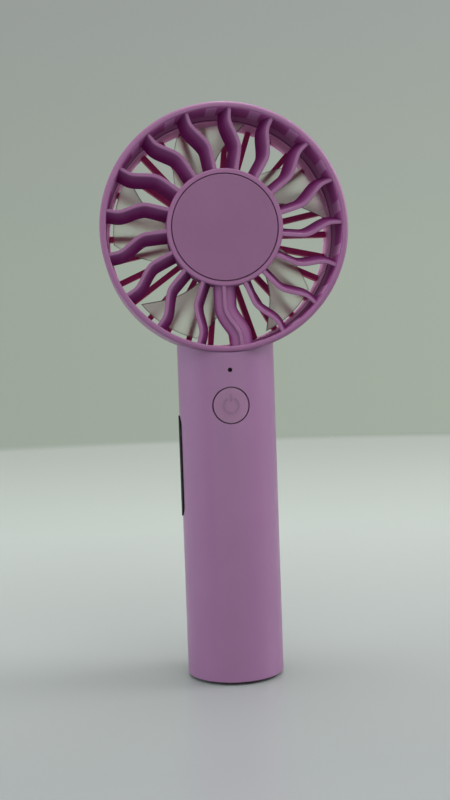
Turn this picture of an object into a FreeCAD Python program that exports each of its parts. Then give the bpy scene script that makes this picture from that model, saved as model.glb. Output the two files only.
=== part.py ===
import FreeCAD, Part
import math
import os
import Sketcher
from FreeCAD import Placement, Rotation, Vector

# Battery handheld fan, in millimetres.
# +Z is up, -Y is the front that blows air, +X is to the right seen from the front.
# The origin is the centre of the face that stands on the table.

SIZES = {
    # handle tube
    "handle_room": 5.8,
    "handle_wall": 2.2,
    "tube_lift": 1.1,
    "tube_bottom_round": 0.35,
    # head: a drum that lies along Y, crossed by the air
    "neck_room": 12.4,
    "drum_radius": 46.1,
    "drum_wall": 2.3,
    "rim_front": 18.9,
    "drum_back": 18.5,
    "seam_behind_rim": 24.2,
    "seam_groove": 0.5,
    "rear_step": 0.35,
    "rim_outer_round": 1.3,
    "rim_inner_round": 0.5,
    "back_round": 1.6,
    "back_lip": 0.8,
    "back_lip_length": 1.3,
    "tongue_length": 2.0,
    "tongue_skin": 0.65,
    "tongue_gap": 0.1,
    # front hub and its cap
    "hub_radius": 21.65,
    "hub_setback": 0.6,
    "hub_length": 11.4,
    "hub_edge_round": 0.6,
    "hub_floor": 1.8,
    "hub_ring_width": 2.1,
    "cap_thickness": 1.6,
    "cap_gap": 0.4,
    "cap_edge_round": 0.25,
    "cap_ledge": 1.6,
    "cap_clip_length": 2.4,
    "cap_clip_wall": 1.0,
    # wavy ribs of the front grille
    "rib_count": 17,
    "rib_first_angle": 85.8,
    "rib_setback": 1.0,
    "rib_depth": 11.5,
    "rib_rim_thickness": 1.35,
    "rib_hub_thickness": 1.65,
    "rib_turn_radius": 4.73,
    "rib_hub_drift": 0.9,
    "rib_bend_from_rim": 3.2,
    "rib_bend_from_hub": 6.95,
    "rib_lean": 2.6,
    "rib_spread": 0.25,
    # wire duct behind the lowest rib
    "duct_rib": 8,
    "duct_width": 8.2,
    "duct_setback": 1.25,
    "duct_depth": 9.8,
    "tunnel_width": 4.0,
    "tunnel_front_wall": 2.2,
    "tunnel_depth": 5.2,
    # rear grille
    "spoke_count": 30,
    "spoke_width": 2.1,
    "spoke_depth": 5.0,
    "spoke_inset": 0.5,
    "rear_hub_radius": 11.0,
    "rear_hub_thickness": 2.6,
    "rear_hub_round": 0.8,
    # neck between drum and handle
    "neck_gap": 0.1,
    "neck_flat": 8.6,
    "neck_length": 13.1,
    "neck_ledge": 2.4,
    "saddle_gap": 0.05,
    # impeller
    "blade_count": 5,
    "blade_tip_gap": 2.3,
    "impeller_hub_wall": 1.8,
    "hub_to_impeller": 1.1,
    "impeller_hub_floor": 1.8,
    "impeller_hub_round": 1.2,
    "blade_front_inset": 0.8,
    "blade_back": 10.0,
    "blade_span": 36.0,
    "blade_sweep": 20.5,
    "blade_lead_angle": -12.0,
    "blade_root_radius": 24.2,
    "blade_thickness": 1.3,
    "blade_edge_thickness": 0.5,
    "blade_camber": 1.5,
    # motor
    "shaft_radius": 1.0,
    "bearing_radius": 2.5,
    "bearing_width": 2.5,
    "running_gap": 0.03,
    "tube_radius": 3.6,
    "boss_gap": 0.5,
    "mount_flange_radius": 9.5,
    "mount_flange_thickness": 1.2,
    "stator_radius": 11.5,
    "stator_inset": 1.0,
    "stator_length": 6.0,
    "stator_teeth": 9,
    "stator_root_radius": 5.2,
    "tooth_width": 1.7,
    "tooth_tip": 1.6,
    "tooth_slot": 1.3,
    "coil_width": 3.3,
    "coil_overhang": 1.3,
    "coil_gap": 0.05,
    "air_gap": 0.5,
    "magnet_thickness": 1.7,
    "magnet_inset": 0.6,
    "magnet_length": 8.4,
    "can_wall": 0.7,
    "can_boss_radius": 2.4,
    "can_boss_length": 0.8,
    "clip_radius": 1.9,
    "clip_thickness": 0.4,
    "driver_board_radius": 15.0,
    "driver_board_thickness": 1.0,
    "motor_screw_count": 3,
    "motor_screw_turn": 30.0,
    "motor_screw_circle": 7.3,
    "motor_screw_radius": 0.8,
    "motor_screw_head_radius": 1.5,
    "motor_screw_head_height": 0.9,
    "motor_screw_length": 1.6,
    "motor_wire_radius": 0.5,
    "motor_wire_pitch": 1.2,
    "motor_wire_inset": 1.5,
    "motor_wire_bend": 6.0,
    "wire_end_gap": 0.1,
    # base
    "cap_fit_gap": 0.1,
    "base_thickness": 3.6,
    "foot_inset": 0.9,
    "foot_recess": 0.6,
    "foot_gap": 0.15,
    "foot_edge_round": 0.4,
    "base_screw_count": 3,
    "base_screw_turn": -90.0,
    "base_screw_inset": 5.9,
    "screw_radius": 1.0,
    "screw_clearance": 0.15,
    "screw_head_radius": 1.9,
    "screw_head_height": 1.3,
    "base_screw_length": 4.0,
    # inner frame that carries battery and boards
    "frame_gap": 0.25,
    "frame_plate": 2.0,
    "frame_spine_depth": 3.5,
    "stop_plate_base": 23.0,
    "cradle_low_share": 0.23,
    "cradle_high_share": 0.615,
    "neck_plate_gap": 0.2,
    "side_channel_gap": 0.5,
    "side_channel_width": 12.0,
    "neck_screw_inset": 2.1,
    "neck_screw_back": 3.0,
    "neck_screw_length": 6.0,
    # battery
    "cell_radius": 10.6,
    "cell_length": 70.2,
    "cell_back": 1.6,
    "cell_gap": 0.25,
    "cell_button_radius": 3.2,
    "cell_button_height": 0.4,
    "pad_thickness": 1.5,
    "pad_inset": 1.0,
    "tab_width": 6.0,
    "tab_thickness": 0.3,
    # main board, power button and light
    "board_thickness": 1.0,
    "board_room": 4.1,
    "board_side_room": 6.4,
    "board_length": 38.0,
    "board_top_gap": 0.4,
    "board_screw_inset": 2.0,
    "board_post_drop": 14.4,
    "board_screw_radius": 0.7,
    "board_screw_length": 2.2,
    "board_screw_head_radius": 1.4,
    "board_post_width": 3.6,
    "chip_lift": 7.5,
    "chip_side": 5.0,
    "small_chip_side": 2.5,
    "small_chip_spread": 4.0,
    "small_chip_above_button": 10.0,
    "chip_height": 0.9,
    "button_below_lamp": 13.2,
    "button_radius": 6.5,
    "button_gap": 0.5,
    "button_flange": 0.9,
    "button_flange_thickness": 0.8,
    "button_stem_radius": 1.6,
    "button_travel": 0.35,
    "symbol_radius": 2.9,
    "symbol_width": 0.5,
    "symbol_height": 0.2,
    "symbol_opening": 62.0,
    "symbol_bar_length": 2.7,
    "symbol_bar_drop": 1.6,
    "switch_side": 4.6,
    "switch_body_height": 1.6,
    "plunger_radius": 1.1,
    "plunger_out": 0.6,
    "plunger_in": 0.5,
    "plunger_clearance": 0.08,
    "lamp_below_drum": 6.5,
    "lamp_radius": 0.8,
    "lamp_gap": 0.04,
    "lamp_flange": 0.7,
    "lamp_led_height": 0.8,
    "lamp_led_width": 1.6,
    # battery gauge window on the left flank
    "window_below_drum": 43.1,
    "window_length": 39.0,
    "window_width": 8.6,
    "window_gap": 0.08,
    "window_proud": 0.4,
    "window_flange": 1.0,
    "window_flange_thickness": 0.9,
    "gauge_board_room": 3.4,
    "gauge_board_thickness": 0.8,
    "gauge_board_width": 9.0,
    "gauge_led_count": 4,
    "gauge_led_side": 2.0,
    "gauge_led_height": 0.7,
    "gauge_led_pitch": 8.6,
    # charging socket low on the back
    "socket_height": 12.6,
    "socket_width": 8.94,
    "socket_thickness": 3.26,
    "socket_depth": 7.4,
    "socket_wall": 0.3,
    "socket_inset": 0.7,
    "socket_gap": 0.2,
    "tongue_plate_width": 6.6,
    "tongue_plate_thickness": 0.7,
    "tongue_plate_length": 5.2,
    "charge_board_width": 18.0,
    "charge_board_length": 20.0,
    "charge_board_rail": 3.0,
    # wires held inside
    "wire_radius": 0.55,
    "wire_bend": 3.0,
    "wire_lane": 1.65,
    "minus_wire_bend": 18.0,
    "gauge_wire_radius": 0.385,
}

TURN = 360.0
HALF = 0.5

doc = FreeCAD.newDocument("handheld_fan")
sheet = doc.addObject("Spreadsheet::Sheet", "Sizes")
for row, (alias, value) in enumerate(SIZES.items(), start=1):
    sheet.set("A%d" % row, alias)
    sheet.set("B%d" % row, str(value))
    sheet.setAlias("B%d" % row, alias)
doc.recompute()


class Size:
    """A size: its number, and the sheet expression that gives it."""

    def __init__(self, number, text):
        self.number = number
        self.text = text

    def __add__(self, other):
        return Size(self.number + number(other), "(%s + %s)" % (self.text, text(other)))

    def __radd__(self, other):
        return Size(number(other) + self.number, "(%s + %s)" % (text(other), self.text))

    def __sub__(self, other):
        return Size(self.number - number(other), "(%s - %s)" % (self.text, text(other)))

    def __rsub__(self, other):
        return Size(number(other) - self.number, "(%s - %s)" % (text(other), self.text))

    def __mul__(self, other):
        return Size(self.number * number(other), "(%s * %s)" % (self.text, text(other)))

    def __rmul__(self, other):
        return Size(number(other) * self.number, "(%s * %s)" % (text(other), self.text))

    def __truediv__(self, other):
        return Size(self.number / number(other), "(%s / %s)" % (self.text, text(other)))

    def __neg__(self):
        return Size(-self.number, "(0 - %s)" % self.text)


def number(value):
    return value.number if isinstance(value, Size) else float(value)


def text(value):
    return value.text if isinstance(value, Size) else repr(float(value))


def root(value):
    """The square root of a squared size."""
    return Size(math.sqrt(number(value)), "sqrt(%s)" % text(value))


class Sheet:
    """Gives each cell of the sheet by its alias."""

    def __getattr__(self, alias):
        return Size(float(sheet.get(alias)), "Sizes." + alias)


size = Sheet()

# ---------------------------------------------------------------- helpers

ALONG = {
    "x": Rotation(Vector(0, 1, 0), 90),
    "y": Rotation(Vector(1, 0, 0), -90),
    "z": Rotation(),
}
parts = []


def bind(feature, prop, value):
    """Set a property, or tie it to the sheet when the value is a Size."""
    if isinstance(value, Size):
        feature.setExpression(prop, value.text)
    else:
        setattr(feature, prop, value)


def put(feature, at, along="z"):
    feature.Placement = Placement(Vector(), ALONG[along])
    for letter, value in zip("xyz", at):
        feature.setExpression("Placement.Base." + letter, text(value))
    return feature


def cylinder(name, radius, height, at, along="z"):
    """A rod that starts at a point and runs along an axis."""
    feature = doc.addObject("Part::Cylinder", name)
    bind(feature, "Radius", radius)
    bind(feature, "Height", height)
    return put(feature, at, along)


def block(name, low, high):
    """A box between its lowest and highest corners."""
    feature = doc.addObject("Part::Box", name)
    for prop, start, end in zip(("Length", "Width", "Height"), low, high):
        feature.setExpression(prop, "%s - %s" % (text(end), text(start)))
    return put(feature, low)


def cut(name, base, *tools):
    feature = doc.addObject("Part::Cut", name)
    feature.Base = base
    feature.Tool = tools[0] if len(tools) == 1 else fuse(name + "_tools", *tools)
    return feature


def fuse(name, *shapes):
    feature = doc.addObject("Part::MultiFuse", name)
    feature.Shapes = list(shapes)
    return feature


def common(name, first, second):
    feature = doc.addObject("Part::Common", name)
    feature.Base = first
    feature.Tool = second
    return feature


def ring(name, outer, inner, height, at, along="z"):
    """A tube that starts at a point and runs along an axis."""
    wall = cylinder(name + "_outside", outer, height, at, along)
    hole = cylinder(name + "_inside", inner, height, at, along)
    return cut(name, wall, hole)


def computed(name, shape, height=None):
    """A shape made with Part's own functions, lifted to the head when asked."""
    feature = doc.addObject("Part::Feature", name)
    feature.Shape = shape
    if height is not None:
        feature.setExpression("Placement.Base.z", text(height))
    return feature


def keep(feature, node):
    """Mark a feature as a finished piece; its label names its file."""
    feature.Label = node
    parts.append(feature)
    return feature


def origin_plane(body, role):
    for plane in body.Origin.OriginFeatures:
        if plane.Role == role:
            return plane
    raise RuntimeError("no origin plane " + role)


def outline_sketch(body, name, role, points):
    """A closed outline whose corners are tied to the sheet."""
    sketch = body.newObject("Sketcher::SketchObject", name)
    sketch.AttachmentSupport = [(origin_plane(body, role), "")]
    sketch.MapMode = "FlatFace"
    corners = [Vector(number(across), number(up), 0) for across, up in points]
    for index, corner in enumerate(corners):
        following = corners[(index + 1) % len(corners)]
        sketch.addGeometry(Part.LineSegment(corner, following), False)
    for index in range(len(corners)):
        after = (index + 1) % len(corners)
        sketch.addConstraint(Sketcher.Constraint("Coincident", index, 2, after, 1))
    for index, point in enumerate(points):
        for kind, value in zip(("DistanceX", "DistanceY"), point):
            rule = Sketcher.Constraint(kind, -1, 1, index, 1, number(value))
            place = sketch.addConstraint(rule)
            if isinstance(value, Size):
                sketch.setExpression("Constraints[%d]" % place, value.text)
    return sketch


def turned(name, points, along="y", height=None):
    """A body turned about an axis from an outline of (radius, place along the axis) corners."""
    body = doc.addObject("PartDesign::Body", name)
    role = "XY_Plane" if along == "y" else "XZ_Plane"
    sketch = outline_sketch(body, name + "_outline", role, points)
    feature = body.newObject("PartDesign::Revolution", name + "_turn")
    feature.Profile = sketch
    feature.ReferenceAxis = (sketch, ["V_Axis"])
    feature.Angle = TURN
    body.Tip = feature
    if height is not None:
        body.setExpression("Placement.Base.z", text(height))
    return body


def rounded(body, name, radius, circles, along="y"):
    """Round the circular edges at the given (radius, place along the axis)."""
    base = body.Tip
    base.recompute(True)
    names = []
    for index, edge in enumerate(base.Shape.Edges, start=1):
        curve = edge.Curve
        if curve.TypeId != "Part::GeomCircle":
            continue
        place = curve.Center.y if along == "y" else curve.Center.z
        for wanted, station in circles:
            same_radius = abs(curve.Radius - number(wanted)) < SAME
            if same_radius and abs(place - number(station)) < SAME:
                names.append("Edge%d" % index)
    if len(names) < len(circles):
        raise RuntimeError("edge to round is missing on " + name)
    feature = body.newObject("PartDesign::Fillet", name)
    feature.Base = (base, names)
    bind(feature, "Radius", radius)
    body.Tip = feature
    return body


SAME = 1e-4

# ---------------------------------------------------------------- shared places

cell_bottom = size.stop_plate_base + size.frame_plate + size.pad_thickness + size.tab_thickness
cell_top = cell_bottom + size.cell_length
button_top = cell_top + size.cell_button_height
mid_plate_z = button_top + size.tab_thickness + size.pad_thickness
frame_top = mid_plate_z + size.neck_room
neck_bottom = frame_top + size.neck_plate_gap
drum_bottom = neck_bottom + size.neck_length
head = drum_bottom + size.drum_radius

handle_bore = size.cell_radius + size.handle_room
handle_radius = handle_bore + size.handle_wall
frame_radius = handle_bore - size.frame_gap
tube_bottom = size.tube_lift
cap_top = tube_bottom + size.base_thickness

lamp_height = drum_bottom - size.lamp_below_drum
button_height = lamp_height - size.button_below_lamp
window_height = drum_bottom - size.window_below_drum

board_front = handle_bore - size.board_room
board_back = size.board_thickness - board_front
board_half_width = handle_bore - size.board_side_room
board_screw_spread = board_half_width - size.board_screw_inset
board_top = drum_bottom - size.neck_ledge - size.board_top_gap
board_bottom = board_top - size.board_length
gauge_board_x = handle_bore - size.gauge_board_room
side_channel_x = size.cell_radius + size.side_channel_gap
neck_screw_spread = side_channel_x - size.neck_screw_inset

drum_bore = size.drum_radius - size.drum_wall
rim_y = -size.rim_front
seam_y = size.seam_behind_rim - size.rim_front
hub_front = rim_y + size.hub_setback
hub_back = hub_front + size.hub_length
floor_front = hub_back - size.hub_floor
ledge_y = hub_front + size.cap_thickness
cap_radius = size.hub_radius - size.hub_ring_width
pocket_radius = cap_radius + size.cap_gap
cavity_radius = pocket_radius - size.cap_ledge
rib_bend_start = drum_bore - size.rib_bend_from_rim
rib_bend_end = size.hub_radius + size.rib_bend_from_hub

impeller_radius = drum_bore - size.blade_tip_gap
impeller_hub_front = -hub_back - size.hub_to_impeller
blade_front = impeller_hub_front - size.blade_front_inset
magnet_front = impeller_hub_front - size.magnet_inset
stator_front = magnet_front - size.stator_inset
can_radius = size.stator_radius + size.air_gap + size.magnet_thickness + size.can_wall
can_back = size.magnet_length - magnet_front + size.can_wall * 2.0
can_plate = can_back - size.can_wall
can_boss = can_plate - size.can_boss_length
tube_back = can_boss - size.boss_gap
impeller_hub_radius = can_radius + size.impeller_hub_wall
long_enough = size.drum_radius * 2.0


def head_cylinder(name, radius):
    """A long cylinder on the head's axis."""
    reach = size.drum_radius
    return cylinder(name, radius, reach * 2.0, (0, -reach, head), "y")


# ---------------------------------------------------------------- front shell


# a smooth step across a run has its tightest bend at its ends
STEP_BEND = 6.0


def rib_sweep():
    """Turn of a rib between its two straight ends, from the tightest bend of its middle line."""
    start = number(rib_bend_start)
    end = number(rib_bend_end)
    run = start - end
    sideways = run * run / (STEP_BEND * number(size.rib_turn_radius))
    return math.degrees(sideways / ((start + end) * HALF))


def rib_angle(radius):
    """Angle of the rib's middle line at a radius, measured from its rim end."""
    start = number(rib_bend_start)
    end = number(rib_bend_end)
    part = min(max((start - radius) / (start - end), 0.0), 1.0)
    smooth = part * part * (3.0 - 2.0 * part)
    inner = max(end - radius, 0.0) / (end - number(size.hub_radius))
    return -(smooth * rib_sweep() + inner * number(size.rib_hub_drift))


RIB_STATIONS = 11
RIB_BITE = 0.7
SLOPE_STEP = 0.05
# (depth in mm, share of the full width) at the nose, then shares of the depth
RIB_NOSE = [(0.0, 0.62), (0.15, 0.86), (0.45, 1.0)]
RIB_FLANK = (1.0,)
DUCT_NOSE = [(0.0, 0.35), (0.3, 0.6), (0.9, 0.82), (2.0, 0.96)]
DUCT_FLANK = (0.38, 0.6, 0.8, 1.0)


def rib_outline(half_rim, half_hub, shift, y, first_angle, inner, outer):
    """One closed outline across the rib, at one depth."""
    middle = []
    for index in range(RIB_STATIONS):
        radius = inner + (outer - inner) * index / (RIB_STATIONS - 1)
        angle = math.radians(first_angle + rib_angle(radius))
        middle.append((radius, angle))
    left = []
    right = []
    span = outer - inner
    for radius, angle in middle:
        along = (radius - inner) / span
        half = half_hub + (half_rim - half_hub) * along
        ends = []
        for reach in (radius - SLOPE_STEP, radius + SLOPE_STEP):
            turn = math.radians(first_angle + rib_angle(reach))
            ends.append(Vector(reach * math.cos(turn), 0, reach * math.sin(turn)))
        run = (ends[1] - ends[0]).normalize()
        side = Vector(-run.z, 0, run.x)
        place = Vector(radius * math.cos(angle), y, radius * math.sin(angle))
        left.append(place + side * (half + shift))
        right.append(place + side * (shift - half))
    left_curve = Part.BSplineCurve()
    left_curve.interpolate(left)
    right_curve = Part.BSplineCurve()
    right_curve.interpolate(list(reversed(right)))
    edges = [
        left_curve.toShape(),
        Part.LineSegment(left[-1], right[-1]).toShape(),
        right_curve.toShape(),
        Part.LineSegment(right[0], left[0]).toShape(),
    ]
    return Part.Wire(edges)


def rib_solid(first_angle, depths, front, rim_half, hub_half, lean, inner, outer, straight):
    """A blade lofted from front to back through (depth, share of width) stations."""
    last = depths[-1][0]
    outlines = []
    for depth, share in depths:
        shift = lean * depth / last
        y = front + depth
        halves = (rim_half * share, hub_half * share)
        outlines.append(rib_outline(*halves, shift, y, first_angle, inner, outer))
    return Part.makeLoft(outlines, True, straight)


def rib_depths(depth):
    """The rib's section: a rounded nose that widens a little to the back."""
    spread = number(size.rib_spread)
    return RIB_NOSE + [(depth * share, 1.0 + share * spread) for share in RIB_FLANK]


def front_ribs():
    shapes = []
    inner = number(size.hub_radius) - RIB_BITE
    outer = number(drum_bore) + RIB_BITE
    front = number(rim_y + size.rib_setback)
    count = int(number(size.rib_count))
    for index in range(count):
        angle = number(size.rib_first_angle) - TURN * index / count
        shapes.append(
            rib_solid(
                angle,
                rib_depths(number(size.rib_depth)),
                front,
                number(size.rib_rim_thickness) * HALF,
                number(size.rib_hub_thickness) * HALF,
                number(size.rib_lean),
                inner,
                outer,
                True,
            )
        )
    return shapes


def duct_angle():
    return number(size.rib_first_angle) - TURN * number(size.duct_rib) / int(number(size.rib_count))


def duct_solid():
    """The convex housing for the motor wires, behind its rib."""
    depth = number(size.duct_depth)
    stations = DUCT_NOSE + [(depth * share, 1.0) for share in DUCT_FLANK]
    half = number(size.duct_width) * HALF
    front = number(rim_y + size.rib_setback + size.duct_setback)
    inner = number(size.hub_radius) - RIB_BITE
    outer = number(drum_bore) + RIB_BITE
    return rib_solid(duct_angle(), stations, front, half, half, duct_lean(), inner, outer, False)


def duct_lean():
    """The duct leans with its rib, in proportion to its depth."""
    return number(size.rib_lean) * HALF


tunnel_front = rim_y + size.rib_setback + size.duct_setback + size.tunnel_front_wall
TUNNEL_REACH = 1.5


def tunnel_solid():
    """The channel inside the duct, open to the hub and through the drum wall."""
    half = number(size.tunnel_width) * HALF
    inner = number(cavity_radius) - TUNNEL_REACH
    outer = number(size.drum_radius) + TUNNEL_REACH
    shift = duct_lean() * HALF
    outlines = []
    for depth in (0.0, number(size.tunnel_depth)):
        y = number(tunnel_front) + depth
        outlines.append(rib_outline(half, half, shift, y, duct_angle(), inner, outer))
    return Part.makeLoft(outlines, True, True)


def wire_tunnel():
    return computed("wire_tunnel", tunnel_solid(), head)


def build_front_grille():
    """Ribs, duct and hub cup, trimmed to the drum's bore."""
    hub = turned(
        "hub_cup",
        [
            (pocket_radius, hub_front),
            (size.hub_radius, hub_front),
            (size.hub_radius, hub_back),
            (size.tube_radius, hub_back),
            (size.tube_radius, floor_front),
            (cavity_radius, floor_front),
            (cavity_radius, ledge_y),
            (pocket_radius, ledge_y),
        ],
        height=head,
    )
    rounded(hub, "hub_front_edge", size.hub_edge_round, [(size.hub_radius, hub_front)])
    spread = []
    for index, shape in enumerate(front_ribs()):
        spread.append(computed("rib_%02d" % index, shape, head))
    duct = computed("wire_duct", duct_solid(), head)
    wheel = fuse("grille_wheel", hub, duct, *spread)
    trimmed = common("grille_trimmed", wheel, head_cylinder("grille_room", drum_bore))
    holes = []
    for index in range(motor_screws):
        at = motor_screw_place(index, floor_front)
        holes.append(cylinder("motor_hole", size.motor_screw_radius, size.motor_screw_length, at, "y"))
    keep(cut("front_grille", trimmed, wire_tunnel(), *holes), "front_grille")


def build_front_shell():
    rim = turned(
        "rim_and_wall",
        [
            (drum_bore, rim_y),
            (size.drum_radius, rim_y),
            (size.drum_radius, seam_y),
            (size.drum_radius - size.tongue_skin, seam_y),
            (size.drum_radius - size.tongue_skin, seam_y - size.tongue_length - size.tongue_gap),
            (drum_bore + size.tongue_skin, seam_y - size.tongue_length - size.tongue_gap),
            (drum_bore + size.tongue_skin, seam_y),
            (drum_bore, seam_y),
        ],
        height=head,
    )
    rounded(rim, "rim_outer_edge", size.rim_outer_round, [(size.drum_radius, rim_y)])
    rounded(rim, "rim_inner_edge", size.rim_inner_round, [(drum_bore, rim_y)])
    neck_radius = handle_bore - size.neck_gap
    neck_low = neck_bottom
    plug = cylinder("neck_plug", neck_radius, head - neck_low, (0, 0, neck_low))
    relief_top = drum_bottom - size.neck_ledge
    relief = block(
        "neck_front_relief",
        (-handle_radius, -handle_radius, neck_low),
        (handle_radius, -size.neck_flat, relief_top),
    )
    wall_gap = size.drum_radius + size.saddle_gap
    front_hollow = head_cylinder("drum_hollow", drum_bore)
    rear_reach = size.drum_radius
    rear_wall = cylinder("rear_wall_room", wall_gap, rear_reach, (0, seam_y, head), "y")
    tongue_length = size.tongue_length + size.tongue_gap
    tongue_at = (0, seam_y - tongue_length, head)
    tongue_top = size.drum_radius - size.tongue_skin
    tongue_room = cylinder("tongue_room", tongue_top, tongue_length, tongue_at, "y")
    neck = cut("neck", plug, relief, front_hollow, rear_wall, tongue_room)
    solid = fuse("front_shell_solid", rim, neck)
    wire_x = number(drum_bore) * math.cos(math.radians(duct_angle()))
    drop_half = size.tunnel_width * HALF
    drop_top = drum_bottom + size.drum_wall * HALF
    drop = block(
        "wire_drop",
        (wire_x - drop_half, tunnel_front, neck_low),
        (wire_x + drop_half, tunnel_front + size.tunnel_depth, drop_top),
    )
    holes = []
    for side in (-1.0, 1.0):
        at = (neck_screw_spread * side, size.neck_screw_back, neck_low)
        holes.append(cylinder("neck_hole", size.screw_radius, neck_thread, at))
    keep(cut("front_shell", solid, wire_tunnel(), drop, *holes), "front_shell")


neck_thread = size.neck_screw_length - size.frame_plate
motor_screws = int(number(size.motor_screw_count))


def motor_screw_place(index, y):
    angle = math.radians(TURN * index / motor_screws + number(size.motor_screw_turn))
    return (
        size.motor_screw_circle * math.cos(angle),
        y,
        head + size.motor_screw_circle * math.sin(angle),
    )


def build_hub_cap():
    skirt_outer = cavity_radius - size.cap_gap
    skirt_inner = skirt_outer - size.cap_clip_wall
    cap = turned(
        "hub_cap",
        [
            (0, hub_front),
            (cap_radius, hub_front),
            (cap_radius, ledge_y),
            (skirt_outer, ledge_y),
            (skirt_outer, ledge_y + size.cap_clip_length),
            (skirt_inner, ledge_y + size.cap_clip_length),
            (skirt_inner, ledge_y),
            (0, ledge_y),
        ],
        height=head,
    )
    rounded(cap, "cap_edge", size.cap_edge_round, [(cap_radius, hub_front)])
    keep(cap, "hub_cap")


# ---------------------------------------------------------------- rear grille


rear_opening = drum_bore - size.back_lip
rear_bore = drum_bore - size.rear_step


def build_rear_shell():
    back = size.drum_back
    tongue_out = size.drum_radius - size.tongue_skin - size.tongue_gap
    tongue_in = drum_bore + size.tongue_skin + size.tongue_gap
    wall = turned(
        "rear_shell",
        [
            (drum_bore, seam_y),
            (tongue_in, seam_y),
            (tongue_in, seam_y - size.tongue_length),
            (tongue_out, seam_y - size.tongue_length),
            (tongue_out, seam_y),
            (size.drum_radius, seam_y),
            (size.drum_radius, back),
            (rear_opening, back),
            (rear_opening, back - size.back_lip_length),
            (rear_bore, back - size.back_lip_length - size.back_lip),
            (rear_bore, seam_y + size.seam_groove),
            (drum_bore, seam_y + size.seam_groove),
        ],
        height=head,
    )
    rounded(wall, "back_edge", size.back_round, [(size.drum_radius, back)])
    keep(wall, "rear_shell")


def build_rear_grille():
    back = size.drum_back
    hub_y = back - size.spoke_inset - size.rear_hub_thickness
    hub = turned(
        "rear_hub",
        [
            (0, hub_y),
            (size.rear_hub_radius, hub_y),
            (size.rear_hub_radius, hub_y + size.rear_hub_thickness),
            (0, hub_y + size.rear_hub_thickness),
        ],
        height=head,
    )
    hub_edge = (size.rear_hub_radius, hub_y + size.rear_hub_thickness)
    rounded(hub, "rear_hub_edge", size.rear_hub_round, [hub_edge])
    spoke_y = back - size.spoke_inset - size.spoke_depth
    spokes = []
    count = int(number(size.spoke_count))
    width = number(size.spoke_width)
    low = Vector(number(size.rear_hub_radius) - RIB_BITE, number(spoke_y), -width * HALF)
    reach = number(drum_bore) - low.x
    for index in range(count):
        bar = Part.makeBox(reach, number(size.spoke_depth), width, low)
        bar.rotate(Vector(), Vector(0, -1, 0), TURN * index / count)
        spokes.append(bar)
    star = computed("rear_spokes", Part.makeCompound(spokes), head)
    wheel = fuse("spoke_wheel", hub, star)
    keep(common("rear_grille", wheel, head_cylinder("spoke_room", rear_opening)), "rear_grille")


# ---------------------------------------------------------------- impeller


BLADE_STATIONS = 8
BLADE_POINTS = 7
BLADE_BURIED = 0.72
BLADE_BEYOND = 1.04
SWEEP_INWARD = 0.5
SWEEP_OUTWARD = 1.08
SETTLE_STEPS = 6
# a tilted blade is thicker along the axis than square to its face
SLANT = 1.25


def blade_edges(radius):
    """Leading and trailing angles of a blade at a radius, in degrees."""
    root_radius = number(size.blade_root_radius)
    tip_radius = number(impeller_radius)
    share = (radius - root_radius) / (tip_radius - root_radius)
    sweep = number(size.blade_sweep) * min(max(share, -SWEEP_INWARD), SWEEP_OUTWARD)
    lead = number(size.blade_lead_angle) - sweep
    return lead, lead - number(size.blade_span)


def blade_solid():
    """One blade, lofted outward through flat sections square to its middle line."""
    front = -number(blade_front)
    back = number(size.blade_back)
    tip = number(impeller_radius)
    hub = number(impeller_hub_radius)
    lead, trail = blade_edges((tip + hub) * HALF)
    heading = (lead + trail) * HALF
    wires = []
    first = hub * BLADE_BURIED
    last = tip * BLADE_BEYOND
    for station in range(BLADE_STATIONS):
        reach = first + (last - first) * station / (BLADE_STATIONS - 1)
        radius = reach
        for _ in range(SETTLE_STEPS):
            lead, trail = blade_edges(radius)
            turn = math.radians((lead + trail) * HALF - heading)
            radius = reach / math.cos(turn)
        ends = []
        for which in (0, 1):
            there = radius
            for _ in range(SETTLE_STEPS):
                angle = math.radians(blade_edges(there)[which] - heading)
                there = reach / math.cos(angle)
            ends.append(reach * math.tan(angle))
        upper = []
        lower = []
        for index in range(BLADE_POINTS):
            share = index / (BLADE_POINTS - 1)
            across = ends[0] + (ends[1] - ends[0]) * share
            bow = math.sin(math.pi * share)
            middle = back + (front - back) * share + number(size.blade_camber) * bow
            edge = number(size.blade_edge_thickness)
            half = HALF * (edge + (number(size.blade_thickness) - edge) * bow)
            lift = half * SLANT
            upper.append(Vector(reach, middle + lift, across))
            lower.append(Vector(reach, middle - lift, across))
        top = Part.BSplineCurve()
        top.interpolate(upper)
        bottom = Part.BSplineCurve()
        bottom.interpolate(list(reversed(lower)))
        wires.append(
            Part.Wire(
                [
                    top.toShape(),
                    Part.LineSegment(upper[-1], lower[-1]).toShape(),
                    bottom.toShape(),
                    Part.LineSegment(lower[0], upper[0]).toShape(),
                ]
            )
        )
    blade = Part.makeLoft(wires, True, False)
    blade.rotate(Vector(), Vector(0, -1, 0), heading)
    return blade


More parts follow.
